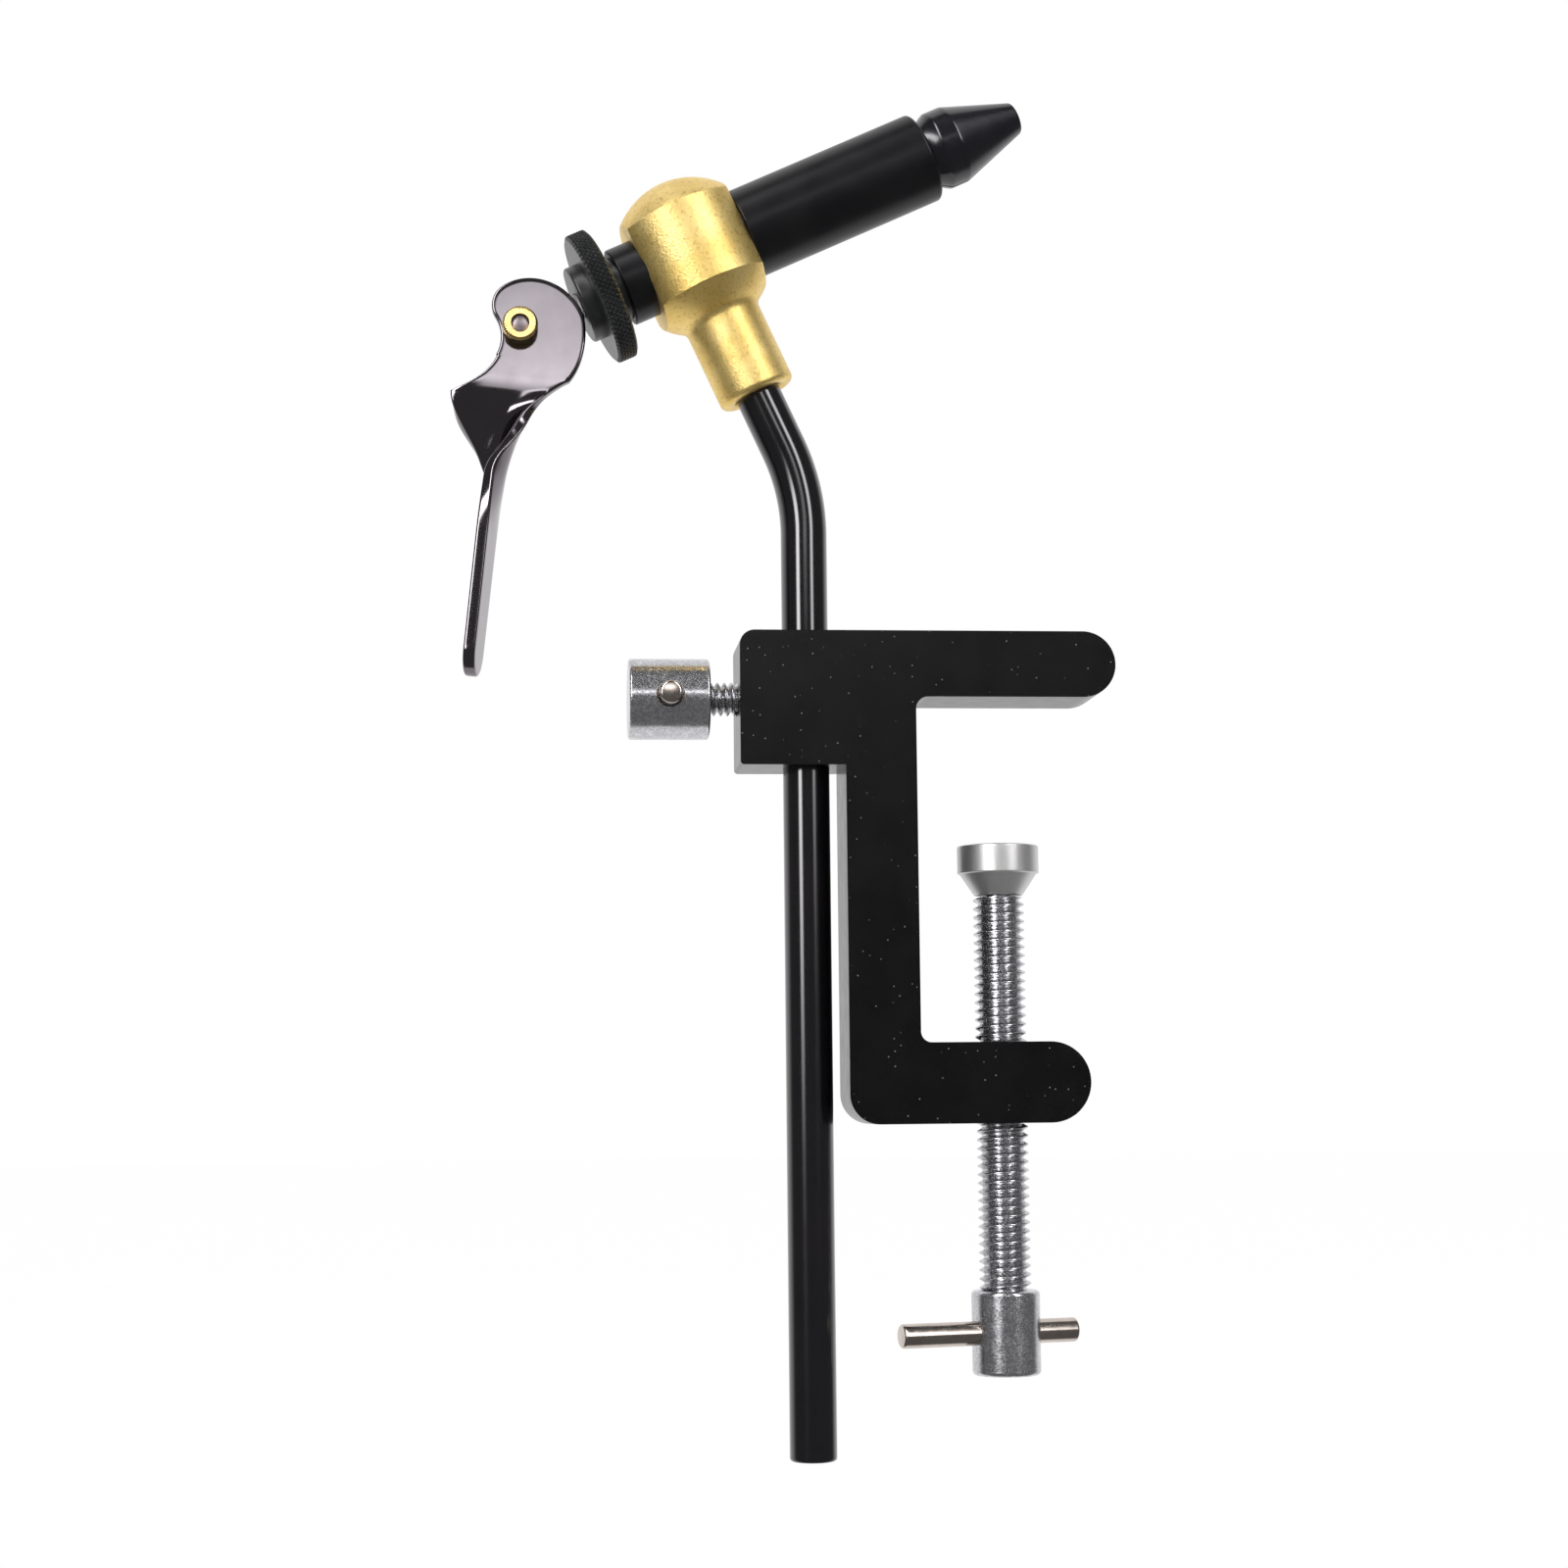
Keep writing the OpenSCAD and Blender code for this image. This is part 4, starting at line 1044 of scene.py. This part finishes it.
@dataclass
class Nut:
    """The knurled nut behind the barrel."""

    axes: Axes
    ring_r: float = 12.8
    ring_low: float = -21.25
    ring_high: float = -17.15
    hub_r: float = 7.4
    hub_low: float = -23.75
    boss_r: float = 6.0
    boss_high: float = -8.15
    bore_r: float = 2.45
    teeth: int = 70
    row: float = 1.15
    depth: float = 0.38
    diamond_top: float = 0.22  # the flat top's share of the diamond
    rows: int = 5  # above and below the middle one
    edge: float = 0.45
    hub_edge: float = 0.45
    boss_edge: float = 0.3
    sunk: float = 1.0

    def diamonds(self, bm: bmesh.types.BMesh, middle: float) -> None:
        """Adds one column of flat-topped diamonds and repeats it round the ring.

        Args:
            bm: the mesh.
            middle: height of the ring's middle.
        """
        half, share = math.pi / self.teeth, self.diamond_top

        def at(turn: float, z: float, r: float) -> bmesh.types.BMVert:
            """A corner at a turn, a height and a radius."""
            return bm.verts.new((r * math.cos(turn), r * math.sin(turn), z))

        corners = ((half, 0.0), (0.0, self.row / 2), (-half, 0.0), (0.0, -self.row / 2))
        for k in range(-self.rows, self.rows + 1):
            turn, z = half * (k % 2), middle + k * self.row / 2
            base = [at(turn + t, z + h, self.ring_r - self.depth) for t, h in corners]
            top = [at(turn + t * share, z + h * share, self.ring_r) for t, h in corners]
            bm.faces.new(top)
            for i, j in ((0, 1), (1, 2), (2, 3), (3, 0)):
                bm.faces.new((base[i], base[j], top[j], top[i]))
        copies = self.teeth - 1
        bmesh.ops.spin(bm, geom=bm.verts[:] + bm.edges[:] + bm.faces[:], cent=(0, 0, 0), axis=(0, 0, 1),
                       angle=FULL_TURN * copies / self.teeth, steps=copies, use_duplicate=True)
        bmesh.ops.remove_doubles(bm, verts=bm.verts, dist=0.01)

    def knurl(self) -> Form:
        """A band of small diamonds, closed towards the core.

        Returns:
            The solid ring.
        """
        form = Form()
        bm = form.bm
        middle = (self.ring_low + self.ring_high) / 2
        self.diamonds(bm, middle)
        form.cut((0, 0, self.ring_low + self.edge), (0, 0, -1))
        form.cut((0, 0, self.ring_high - self.edge), (0, 0, 1))
        rims = [e for e in bm.edges if e.is_boundary]
        outer = self.ring_r - self.depth * 0.5
        for inset, drop in ((self.edge + 0.1, self.edge), (outer - self.boss_r + 0.5, 0.0)):
            grown = bmesh.ops.extrude_edge_only(bm, edges=rims)["geom"]
            fresh = picked(grown, bmesh.types.BMVert)
            for v in fresh:
                goal, reach = outer - inset, math.hypot(v.co.x, v.co.y)
                rise = math.copysign(drop, v.co.z - middle)
                v.co = (v.co.x * goal / reach, v.co.y * goal / reach, v.co.z + rise)
            rims = [e for e in picked(grown, bmesh.types.BMEdge) if all(v in fresh for v in e.verts)]
        bmesh.ops.bridge_loops(bm, edges=rims)
        return form.clean(0.002)

    def build(self, bench: Bench) -> None:
        """Makes the nut.

        Args:
            bench: the bench that finishes it.
        """
        inside = self.ring_low + self.sunk
        outline = [(self.bore_r, self.hub_low), (self.hub_r, self.hub_low), (self.hub_r, inside),
                   (self.boss_r, inside), (self.boss_r, self.boss_high), (self.bore_r, self.boss_high)]
        form = Form().turn(outline, FINE, closed=True)
        form.soften(self.hub_edge, 4, 60.0, high=self.hub_low + 0.1)
        form.soften(self.boss_edge, 2, 60.0, low=self.boss_high - 0.1)
        form.join(self.knurl())
        form.move(self.axes.barrel())
        bench.piece("adjusting_nut_knurled", form, "adjusting_nut", "nut", "knurl_black", Paint.KNURL, 25.0)


@dataclass
class Lever:
    """The cam plate with its twisted handle, and the screw and nut at its pivot."""

    axes: Axes
    pivot_a: float = -35.95
    thick: float = 2.3
    plane_y: float = -1.25
    cam_r: float = 12.05
    cam_lift: float = 1.93
    blend: float = 13.8
    spread: float = 0.038
    spread_start: float = 4.0
    spread_blend: float = 20.0
    dwell_end: float = -38.0
    fall_end: float = 125.0
    lobe_r: float = 4.5
    lobe_turn: float = 86.3
    notch: Pair = (-10.7, -1.5)
    notch_end: float = -28.0
    line: Pair = (2.0, 0.75)
    lean_top: float = 47.4
    lean_end: float = 6.1
    lean_l: float = 11.6
    half_top: float = 5.8
    half_end: float = 4.8
    length: float = 68.4
    twist: float = 99.0
    twist_start: float = 14.8
    twist_l: float = 18.2
    lead: float = 3.8
    soft: float = 0.25
    bulge: float = 2.0
    bulge_start: float = 14.0
    bulge_rise: float = 22.4
    bulge_fall: float = 20.0
    flat_l: float = 11.0
    jog: float = 0.4
    jog_l: float = 14.0
    curl: float = 0.9
    curl_start: float = 3.6
    curl_rise: float = 5.0
    curl_fade: float = 10.0
    neck_left: float = 1.9
    neck_right: float = 12.3
    neck_right_l: float = 9.0
    shoulder: Pair = (7.3, 15.1)
    shoulder_left: float = 9.4
    shoulder_fade: float = 12.0
    shoulder_power: float = 1.9
    edge: float = 1.0
    roundness: float = 5.0
    rounds: tuple[int, int, int, int] = (90, 24, 16, 8)  # steps round the cam, lobe and notch, and below it
    rungs: tuple[int, int, int] = (12, 70, 16)  # rows down the shoulder, along the handle and round its end
    across: int = 16
    levels: int = 14
    line_steps: int = 24
    hole_r: float = 1.65
    nut_r: float = 3.35
    nut_h: float = 3.5
    nut_y: float = -2.5
    nut_teeth: int = 40
    nut_groove: float = 0.17
    nut_bevel: Pair = (0.38, 0.26)
    nut_hole_r: float = 1.72
    nut_edge: float = 0.08
    head_low: float = 2.6
    head_edge: float = 0.3
    screw_outline: tuple = ((0, -5.9), (1.0, -5.82), (1.6, -5.5), (1.6, 2.4), (3.1, 2.4), (3.1, 4.2),
                            (0, 4.2))
    screw_slot: Triple = (12, 0.9, 1.6)

    @staticmethod
    def ease(u: float) -> float:
        """Runs smoothly from 0 to 1."""
        c = max(0.0, min(1.0, u))
        return c * c * (3 - 2 * c)

    def even_rise(self, u: float) -> float:
        """Rises evenly from 0 to 1, with soft ends.

        Args:
            u: the share of the way.
        Returns:
            The rise.
        """
        c, r = max(0.0, min(1.0, u)), self.soft
        k = 2 * r * (1 - r)
        if c < r:
            return c * c / k
        return (c - r / 2) / (1 - r) if c < 1 - r else 1 - (1 - c) ** 2 / k

    def cam_point(self, turn: float, inset: float = 0.0) -> Vector:
        """A point of the cam's edge, or inside it.

        Args:
            turn: where the edge's normal points there, in degrees.
            inset: how far inside the edge the point lies.
        Returns:
            The point, in the plate's plane from the pivot.
        """
        d = turn - math.degrees(self.axes.tilt)
        rate = self.cam_lift * math.pi / 180
        top = self.cam_r + rate * self.blend / 2
        if d > 0:
            reach, slope = self.cam_r - rate * d, -self.cam_lift
        elif d > -self.blend:
            reach = top - rate * (d + self.blend) ** 2 / (2 * self.blend)
            slope = -self.cam_lift * (d + self.blend) / self.blend
        else:
            reach, slope = top, 0.0
        past = max(0.0, self.spread_start - turn)
        share = min(past, self.spread_blend)
        reach += self.spread * (share ** 2 / (2 * self.spread_blend) + past - share) - inset
        slope -= math.degrees(self.spread) * share / self.spread_blend
        c, s = math.cos(math.radians(turn)), math.sin(math.radians(turn))
        return Vector((reach * c - slope * s, reach * s + slope * c))

    def lean(self, s: float) -> float:
        """Lean of the handle's middle line, in radians."""
        share = 1 - self.ease(s / self.lean_l)
        return math.radians(self.lean_end + (self.lean_top - self.lean_end) * share)

    def line_point(self, s: float) -> Vector:
        """A point of the handle's middle line.

        Args:
            s: place along the handle.
        Returns:
            The point, in the plate's plane from the pivot.
        """
        curved = min(s, self.lean_l)
        x, z = self.line
        for j in range(self.line_steps):
            turn = self.lean((j + 0.5) * curved / self.line_steps)
            x -= math.sin(turn) * curved / self.line_steps
            z -= math.cos(turn) * curved / self.line_steps
        turn = self.lean(self.lean_l)
        return Vector((x - (s - curved) * math.sin(turn), z - (s - curved) * math.cos(turn)))

    def half(self, s: float) -> float:
        """Half the handle's width."""
        return self.half_top + (self.half_end - self.half_top) * s / self.length

    def left(self, s: float) -> float:
        """Width to the left of the line, with the shoulder below the notch.

        Args:
            s: place along the handle.
        Returns:
            The width.
        """
        start, end = self.shoulder
        if s < end:
            share = max(0.0, (s - start) / (end - start)) ** self.shoulder_power
            return self.neck_left + (self.shoulder_left - self.neck_left) * share
        share = 1 - self.ease((s - end) / self.shoulder_fade)
        return self.half(s) + (self.shoulder_left - self.half(end)) * share

    def right(self, s: float) -> float:
        """Width to the right of the line."""
        fade = 1 - max(0.0, min(1.0, (s - self.flat_l) / self.neck_right_l))
        return self.half(s) + (self.neck_right - self.half(self.flat_l)) * fade ** 2

    def turned(self, s: float, n: float) -> float:
        """Twist at a place, from the left edge, n = -1, to the right edge, n = 1, in radians."""
        share = (s + self.lead * n - self.twist_start) / self.twist_l
        return math.radians(self.twist) * self.even_rise(share)

    def swell(self, s: float) -> float:
        """Bulge of the handle's middle."""
        rise = self.ease((s - self.bulge_start) / (self.bulge_rise - self.bulge_start))
        return self.bulge * rise * (1 - self.ease((s - self.bulge_rise) / self.bulge_fall))

    def skin(self, s: float, w: float, up: float) -> Vector:
        """A point of the handle.

        Args:
            s: place along the handle.
            w: how far to the right of its line.
            up: how far in front of its middle face.
        Returns:
            The point, from the pivot.
        """
        width = self.right(s) if w > 0 else self.left(s)
        n = w / width
        b = self.swell(s) * (1 - n * n)
        across, middle = self.turned(s, n / 2), self.turned(s, 0.0)
        span = self.shoulder_left - self.curl_start
        tip = max(0.0, -w - self.curl_start) / span
        bend = self.curl * tip * self.ease((s - self.flat_l) / self.curl_rise)
        bend *= 1 - self.ease((s - self.shoulder[1]) / self.curl_fade)
        face = self.turned(s, n) + math.atan(2 * n * self.swell(s) / width + 2 * bend / span)
        side = w * math.cos(across) + b * math.sin(middle) - up * math.sin(face)
        depth = self.jog * self.ease((s - self.flat_l) / self.jog_l) + bend * tip
        depth += b * math.cos(middle) - w * math.sin(across) - up * math.cos(face)
        p = self.line_point(s)
        lean = self.lean(s)
        return Vector((p.x + side * math.cos(lean), depth, p.y - side * math.sin(lean)))

    def row(self, s: float, share: float, inset: float, up: float) -> Vector:
        """A point of one row across the handle; past the straight part it runs round the end.

        Args:
            s: place along the handle, or past it the turn round the end in degrees.
            share: 0 at its left edge, 1 at its right edge.
            inset: how far inside the edge the row begins and ends.
            up: how far in front of the middle face.
        Returns:
            The point, from the pivot.
        """
        straight = self.length - self.half(self.length)
        turn = math.radians(max(0.0, s - straight))
        place = min(s, straight)
        w = (share * (self.right(place) - inset) - (1 - share) * (self.left(place) - inset)) * math.cos(turn)
        return self.skin(place + (self.half(self.length) - inset) * math.sin(turn), w, up)

    def edges(self) -> list:
        """The plate's outline, from the handle's right side over the cam to its left side.

        Returns:
            For each place a function of the inset that gives a point of the plate's plane.
        """
        outline = []
        for turn in spaced(self.dwell_end, self.fall_end, self.rounds[0])[1:]:
            outline.append(lambda inset, turn=turn: self.cam_point(turn, inset))
        lobe, hollow = self.cam_point(self.fall_end, self.lobe_r), Vector(self.notch)
        reach = (lobe - hollow).length - self.lobe_r
        for turn in spaced(0.0, self.lobe_turn, self.rounds[1])[1:]:
            way = self.heading(math.radians(self.fall_end + turn))
            outline.append(lambda inset, way=way: lobe + (self.lobe_r - inset) * way)
        first = math.atan2(lobe.y - hollow.y, lobe.x - hollow.x)
        for turn in spaced(first, math.radians(self.notch_end), self.rounds[2])[1:]:
            outline.append(lambda inset, way=self.heading(turn): hollow + (reach + inset) * way)
        for s in spaced(self.shoulder[0], self.flat_l, self.rounds[3])[:-1]:
            outline.append(lambda inset, s=s: self.row(s, 0.0, inset, 0.0).xz)
        return outline

    @staticmethod
    def heading(turn: float) -> Vector:
        """The direction at a turn.

        Args:
            turn: the turn from +X, in radians.
        Returns:
            The direction, one long.
        """
        way = Vector((1, 0))
        way.rotate(Matrix.Rotation(turn, 2))
        return way

    def profile(self) -> list[Pair]:
        """The round edge, from the front face to the back.

        Returns:
            How far inside the edge, and how far in front of the middle face, each point lies.
        """
        points = []
        for k in range(self.levels + 1):
            turn = math.pi * k / self.levels
            c, s = math.cos(turn), abs(math.sin(turn))
            up = math.copysign(abs(c) ** (2 / self.roundness), c)
            points.append((self.edge * (1 - s ** (2 / self.roundness)), self.thick / 2 * up))
        return points

    def plate(self) -> Form:
        """Front and back faces and the round edge between them.

        Returns:
            The solid form, from the pivot.
        """
        form = Form()
        bm, profile = form.bm, self.profile()
        straight, corner = self.length - self.half(self.length), self.shoulder[1]
        below, along, end = self.rungs
        places = spaced(self.flat_l, corner, below)[:-1] + spaced(corner, straight, along)[:-1]
        places += [straight + turn for turn in spaced(0.0, 90.0, end)]
        rims = [[Vector((p.x, -up, p.y)) for inset, up in profile for p in (point(inset),)]
                for point in self.edges()]
        left, right = ([[self.row(s, share, inset, up) for inset, up in profile] for s in places]
                       for share in (0.0, 1.0))
        self.sheet(bm, [right[0]] + rims + left + right[::-1])
        shares = spaced(0.0, 1.0, self.across)
        for up in (self.thick / 2, -self.thick / 2):
            self.sheet(bm, [[self.row(s, share, self.edge, up) for share in shares] for s in places])
        faces = []
        for side in (0, -1):
            loop = [column[side] for column in rims]
            loop += [self.row(self.flat_l, share, self.edge, profile[side][1]) for share in shares]
            faces.append(bm.faces.new([bm.verts.new(p) for p in loop]))
        bmesh.ops.inset_individual(bm, faces=faces, thickness=0.3, use_even_offset=True)
        return form.clean(0.004)

    @staticmethod
    def sheet(bm: bmesh.types.BMesh, rows: list[list[Vector]]) -> None:
        """Adds a grid of faces and bends it to the given points.

        Args:
            bm: the mesh.
            rows: the points, row by row.
        """
        width = len(rows[0])
        grid = bmesh.ops.create_grid(bm, x_segments=width - 1, y_segments=len(rows) - 1, size=1.0)["verts"]
        for i, v in enumerate(sorted(grid, key=lambda v: (-round(v.co.y, 5), v.co.x))):
            v.co = rows[i // width][i % width]

    def brass(self) -> Form:
        """The round nut, with a straight knurl and a chamfered face.

        Returns:
            The solid form, from the pivot with its axis along -Y.
        """
        form = Form()
        bm = form.bm
        bmesh.ops.create_circle(bm, cap_ends=True, segments=self.nut_teeth * 2, radius=self.nut_r)
        for v in sorted(bm.verts, key=lambda v: math.atan2(v.co.y, v.co.x))[1::2]:
            v.co *= (self.nut_r - self.nut_groove) / self.nut_r
        grown = bmesh.ops.extrude_face_region(bm, geom=bm.faces[:])["geom"]
        bmesh.ops.translate(bm, verts=picked(grown, bmesh.types.BMVert), vec=(0, 0, self.nut_h))
        form.clean()
        lid = [f for f in bm.faces if abs(f.normal.z) > 0.9]
        thickness, depth = self.nut_bevel
        bmesh.ops.inset_region(bm, faces=lid, thickness=thickness, depth=depth, use_even_offset=True)
        form.clean().carve(Form().cylinder(self.nut_hole_r, -1, self.nut_h + 1.5))
        return form.soften(self.nut_edge, 2, 30.0)

    def screw(self) -> Form:
        """The pivot screw: slotted head behind, rounded end in front.

        Returns:
            The solid form, from the pivot with its head towards +Y.
        """
        form = Form().turn(list(self.screw_outline), MEDIUM)
        form.soften(self.head_edge, 3, 50.0, low=self.head_low)
        slot = Form().block(self.screw_slot).move(shift(z=self.screw_outline[-1][1]))
        return form.carve(slot).move(TO_BACK)

    def build(self, bench: Bench) -> None:
        """Makes the lever's pieces.

        Args:
            bench: the bench that finishes them.
        """
        place = self.axes.pivot(self.pivot_a)
        hole = Form().cylinder(self.hole_r, -8, 8).move(TO_FRONT)
        plate = self.plate().move(shift(y=self.plane_y)).carve(hole).move(place)
        bench.piece("cam_lever_plate", plate, "cam_lever", "lever", "lever_polished", Paint.LEVER, 40.0)
        screw = self.screw().move(place)
        bench.piece("pivot_screw", screw, "lever_screw", "draw", "turned_steel", Paint.PIVOT)
        nut = self.brass().move(place @ shift(y=self.nut_y) @ TO_FRONT)
        bench.piece("pivot_nut", nut, "lever_nut", "draw", "nut_brass", Paint.BRASS, 25.0)


# Studio


@dataclass(frozen=True)
class Softbox:
    """A bright field that only reflections show.

    Its turns are in degrees, its heights the upward part of the reflected direction.
    """

    middle: float
    half: float
    soft: float
    rise: Pair
    fall: Pair
    power: float
    fade: float = 0.0

    def shine(self, turn: Sock, height: Sock) -> Sock:
        """The field's light at a turn and a height."""
        field = turn.near(self.middle, self.half, self.soft) * height.above(*self.rise)
        return field * (1.0 - height.above(*self.fall)) * (self.power - height * self.fade)


@dataclass
class Studio:
    """Camera, floor and plain soft light."""

    place: Triple = (-0.09042, -0.52502, -0.07351)
    yaw: float = math.radians(5.477)
    pitch: float = math.radians(6.281)
    roll: float = math.radians(-0.576)
    lens: float = 65.25
    sensor: float = 36.0
    clip: Pair = (0.02, 20.0)
    floor_x: float = -0.04
    floor_z: float = -0.168
    floor_r: float = 4.0
    level: float = 0.85
    gloss_dark: float = 0.13
    behind: Pair = (96.0, 124.0)
    left: Softbox = Softbox(-36.0, 5.0, 5.0, (-0.03, 0.13), (0.78, 0.94), 12.0)
    right: Softbox = Softbox(33.0, 4.0, 5.0, (0.045, 0.2), (0.76, 0.9), 8.0)
    panel: Softbox = Softbox(0.5, 2.0, 11.0, (0.18, 0.235), (0.297, 0.357), 16.8, 51.0)

    def camera(self) -> None:
        """Sets the camera where the photograph was taken from."""
        ahead = Vector((math.sin(self.yaw) * math.cos(self.pitch), math.cos(self.yaw) * math.cos(self.pitch),
                        math.sin(self.pitch)))
        right = Vector((math.cos(self.yaw), -math.sin(self.yaw), 0))
        up = right.cross(ahead)
        c, s = math.cos(self.roll), math.sin(self.roll)
        right, up = right * c + up * s, up * c - right * s
        data = bpy.data.cameras.new("camera")
        data.lens, data.sensor_width = self.lens, self.sensor
        data.clip_start, data.clip_end = self.clip
        camera = bpy.data.objects.new("camera", data)
        matrix = Matrix((right, up, -ahead)).transposed().to_4x4()
        camera.matrix_world = Matrix.Translation(self.place) @ matrix
        bpy.context.scene.collection.objects.link(camera)
        bpy.context.scene.camera = camera

    def world(self) -> None:
        """White behind the object; soft boxes and a darker front for what is polished."""
        world = bpy.data.worlds.new("studio")
        bpy.context.scene.world = world
        world.use_nodes = True
        recipe = Recipe(world.node_tree)
        way = recipe.add("TexCoord", out="Generated")
        x, y, z = (recipe.add("SeparateXYZ", None, {0: way}, out=axis) for axis in range(3))
        turn = x.math("ARCTAN2", -y) * (180 / math.pi)
        behind = turn.math("ABSOLUTE").above(*self.behind)
        boxes = self.left.shine(turn, z) + self.right.shine(turn, z) + self.panel.shine(turn, z)
        shade = behind + (1.0 - behind) * (boxes + self.gloss_dark)
        glossy = recipe.add("CombineColor", None, {0: shade, 1: shade * 0.985, 2: shade})
        light, camera, through = (recipe.add("LightPath", out=f"Is {ray} Ray")
                                  for ray in ("Glossy", "Camera", "Transmission"))
        plain = recipe.mix(light, (self.level, self.level, self.level), glossy)
        colour = recipe.mix(camera.math("MAXIMUM", through), plain, (1.0, 1.0, 1.0))
        surface = recipe.add("Background", None, {"Color": colour, "Strength": 1.0})
        recipe.add("OutputWorld", None, {"Surface": surface})

    def floor(self) -> None:
        """A wide white floor that keeps the object's shadow."""
        form = Form()
        place = shift(self.floor_x, 0, self.floor_z)
        bmesh.ops.create_circle(form.bm, cap_ends=True, segments=MEDIUM, radius=self.floor_r, matrix=place)
        data = form.mesh("floor")
        floor = bpy.data.objects.new("floor", data)
        bpy.context.scene.collection.objects.link(floor)
        material = bpy.data.materials.new("floor_white")
        material.use_nodes = True
        recipe = Recipe(material.node_tree)
        matte = recipe.add("BsdfDiffuse", None, {"Color": (0.98, 0.98, 0.98, 1.0)})
        glow = recipe.add("Emission", None, {"Color": (1.0, 1.0, 1.0, 1.0), "Strength": 1.0})
        camera = recipe.add("LightPath", out="Is Camera Ray")
        surface = recipe.add("MixShader", None, {0: camera * 0.95, 1: matte, 2: glow})
        recipe.add("OutputMaterial", None, {"Surface": surface})
        data.materials.append(material)
        floor.visible_glossy = False

    def lamp(self, name: str, place: Triple, aim: Triple, size: Pair, power: float) -> None:
        """Adds one soft box.

        Args:
            name: its name.
            place: where it hangs.
            aim: what it points at.
            size: its width and height.
            power: its power in watts.
        """
        data = bpy.data.lights.new(name, "AREA")
        data.shape = "RECTANGLE"
        data.size, data.size_y = size
        data.energy = power
        lamp = bpy.data.objects.new(name, data)
        way = Vector(aim) - Vector(place)
        lamp.matrix_world = Matrix.Translation(place) @ way.to_track_quat("-Z", "Y").to_matrix().to_4x4()
        lamp.visible_camera = False
        lamp.visible_glossy = False
        bpy.context.scene.collection.objects.link(lamp)

    def build(self) -> None:
        """Sets up the studio."""
        self.camera()
        self.world()
        self.floor()
        self.lamp("key", (-0.7, -0.9, 0.7), (-0.04, 0, 0), (0.6, 0.6), 6.0)
        self.lamp("fill", (0.8, -0.8, 0.3), (-0.04, 0, 0), (0.6, 0.8), 3.0)
        bpy.context.scene.view_settings.view_transform = "Standard"


def main() -> None:
    """Builds the pieces in order and reports them."""
    logging.basicConfig(level=logging.INFO, format="%(name)s: %(message)s")
    bench, axes = Bench(), Axes()
    stem = Stem(axes)
    Studio().build()
    Clamp().build(bench, stem)
    stem.build(bench)
    Head(axes).build(bench)
    Barrel(axes).build(bench)
    Nut(axes).build(bench)
    Lever(axes).build(bench)
    LOG.info("%d pieces made", len(bench.made))


if __name__ == "__main__":
    main()
